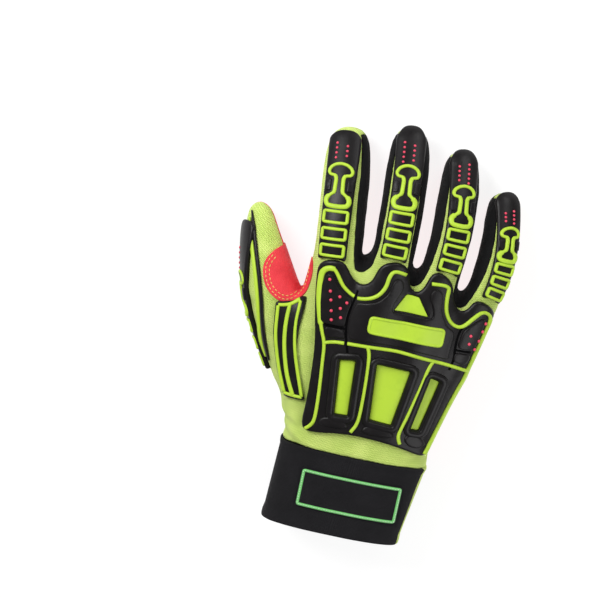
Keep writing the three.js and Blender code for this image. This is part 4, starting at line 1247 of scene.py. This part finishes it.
def makeCuff():
    edge, gap = cuff["goreWidth"] / cuff["around"] / 2, cuff["goreGap"] / cuff["around"]
    low, high = cuff["goreTurn"] - edge, cuff["goreTurn"] + edge
    outer = cuffCloth("cuff", (high + gap - 1, low - gap), cuff["stepsAround"], neopreneKnit,
                      "neoprene")
    cuffCloth("cuff_gore", (low, high), cuff["goreSteps"], limeKnit, "lime_knit")
    return outer


cuffOuter = makeCuff()

# The cuff patch, in mm: its bare field has a green border with a row of white stitches
patch = {"middle": (0.6, -25.8), "wide": 66, "tall": 25.5, "thickness": 1.2, "corner": 1.5,
         "rounding": 0.5, "border": 1.5, "borderWidth": 1.9, "borderHeight": 0.35,
         "stitchLift": 0.25, "stitchSize": 0.62, "stitchStep": 1, "innerCorner": 1, "cut": 1.5}


def makeCuffPatch():
    g = patch

    def box(inset, corner):
        x, y = g["wide"] / 2 - inset, g["tall"] / 2 - inset
        middle = Vector(g["middle"])
        return roundedLine(planLine([middle + Vector(place)
                                     for place in ((-x, -y), (x, -y), (x, y), (-x, y))]),
                           corner * mm)

    bm = flatPlate(box(0, g["corner"]), g["thickness"] * mm, g["rounding"] * mm,
                   step=g["cut"] * mm)
    mapFlat(bm, 1, 1)
    piece = laidPiece("cuff_patch_cloth", bm, aimPlan, neopreneKnit, "patch_cloth",
                      ["cuff_patch"], cuffOuter)
    declareSheet(piece, (g["wide"] * mm, g["tall"] * mm))
    middleLine = box(g["border"], g["innerCorner"])
    border = flatRidge(finerLine(middleLine, g["cut"] * mm, True), g["borderWidth"] * mm,
                       g["borderHeight"] * mm, g["thickness"] * mm, True)
    laidPiece("cuff_patch_border", border, aimPlan, greenThread, "patch_cloth", (), cuffOuter)
    place = placeWith(aimPlan, cuffOuter, (g["thickness"] + g["stitchLift"]) * mm)
    line = finerLine(middleLine + middleLine[:1], g["stitchStep"] * mm)
    stitches = sew(line, place, g["stitchSize"])
    makeStitches("cuff_patch_stitches", stitches, whiteThread, "patch_cloth")


makeCuffPatch()

# The pull tab, in mm: webbing sewn under the cuff, its end folded under
tab = {"width": 23, "start": -4, "end": -51.4, "fold": 20, "upper": 2.7, "lower": 0.8,
       "thickness": 1.5, "bendSteps": 8, "step": 1.2, "stepsAcross": 18}


def makeTab():
    g = tab
    bend = (g["upper"] - g["lower"]) / 2
    path = [(g["start"], g["upper"]), (g["end"], g["upper"])]
    path += [(g["end"] - bend * math.sin(turn), g["lower"] + bend + bend * math.cos(turn))
             for turn in (math.pi * n / g["bendSteps"] for n in range(1, g["bendSteps"]))]
    path += [(g["end"], g["lower"]), (g["end"] + g["fold"], g["lower"])]
    path = finerLine(path, g["step"])
    rows = len(path) - 1
    length = sum((there - here).length for here, there in zip(path, path[1:]))
    bm = bmesh.new()
    bmesh.ops.create_grid(bm, x_segments=g["stepsAcross"], y_segments=rows, size=0.5)
    mapFlat(bm, g["width"] * mm, length * mm)
    for vert in bm.verts:
        y, z = path[round((vert.co.y + 0.5) * rows)]
        vert.co = wristSeam + Vector((vert.co.x * g["width"], y, z)) * mm
    bmesh.ops.recalc_face_normals(bm, faces=bm.faces)
    piece = makePiece("pull_tab_webbing", bm, webbing, "webbing", ["pull_tab"])
    addWall(piece, g["thickness"] * mm, 0)
    declareSheet(piece, (g["width"] * mm, length * mm))


makeTab()
print("cuff made")


# Floor, lights and camera
floorPaint = {"Base Color": (0.22, 0.22, 0.22, 1), "Roughness": 0.8,
              "Emission Color": (1, 1, 1, 1), "Emission Strength": 0.83}
floorSize = 3
lights = {     # place, size, power
    "keyLight": ((-0.8, 0.6, 0.9), 0.7, 16),
    "fillLight": ((0.9, -0.4, 0.9), 1.0, 8),
    "rimLight": ((0.3, 1.0, 0.5), 0.5, 3),
}
worldStrength = 0.3
view = {"target": Vector((-41.8, 10.9, 30)) * mm, "tilt": math.radians(10),
        "roll": math.radians(12), "distance": 1.6, "frameWidth": 384.5 * mm, "sensor": 36}


def makeFloor():
    bm = bmesh.new()
    bmesh.ops.create_grid(bm, x_segments=1, y_segments=1, size=floorSize)
    floor = addObject("floor", meshFrom(bm, "floor"))
    floor.data.materials.append(startMaterial("floorPaint", floorPaint)[0])


def makeLight(name, place, size, power, target):
    light = bpy.data.lights.new(name, "AREA")
    light.shape = "DISK"
    light.size = size
    light.energy = power
    lamp = addObject(name, light)
    lamp.location = place
    lamp.rotation_mode = "QUATERNION"
    lamp.rotation_quaternion = (target - Vector(place)).to_track_quat("-Z", "Y")


def makeCamera():
    tilt, roll = view["tilt"], view["roll"]
    back = Vector((0, math.sin(tilt), math.cos(tilt)))
    east = Vector((1, 0, 0))
    north = Vector((0, math.cos(tilt), -math.sin(tilt)))
    right = math.cos(roll) * east + math.sin(roll) * north
    up = -math.sin(roll) * east + math.cos(roll) * north
    data = bpy.data.cameras.new("camera")
    data.sensor_width = view["sensor"]
    data.lens = view["sensor"] * view["distance"] / view["frameWidth"]
    camera = addObject("camera", data)
    turn = Matrix((right, up, back)).transposed().to_4x4()
    camera.matrix_world = Matrix.Translation(view["target"] + back * view["distance"]) @ turn
    bpy.context.scene.camera = camera


def makeWorld():
    world = bpy.data.worlds.new("studio")
    world.use_nodes = True
    background = world.node_tree.nodes["Background"].inputs
    background["Color"].default_value = (1, 1, 1, 1)
    background["Strength"].default_value = worldStrength
    bpy.context.scene.world = world


makeFloor()
for name, (place, size, power) in lights.items():
    makeLight(name, place, size, power, (cadBox[0] + cadBox[1]) / 2)
makeCamera()
makeWorld()
bpy.context.scene.view_settings.view_transform = "Standard"
print("stage set")
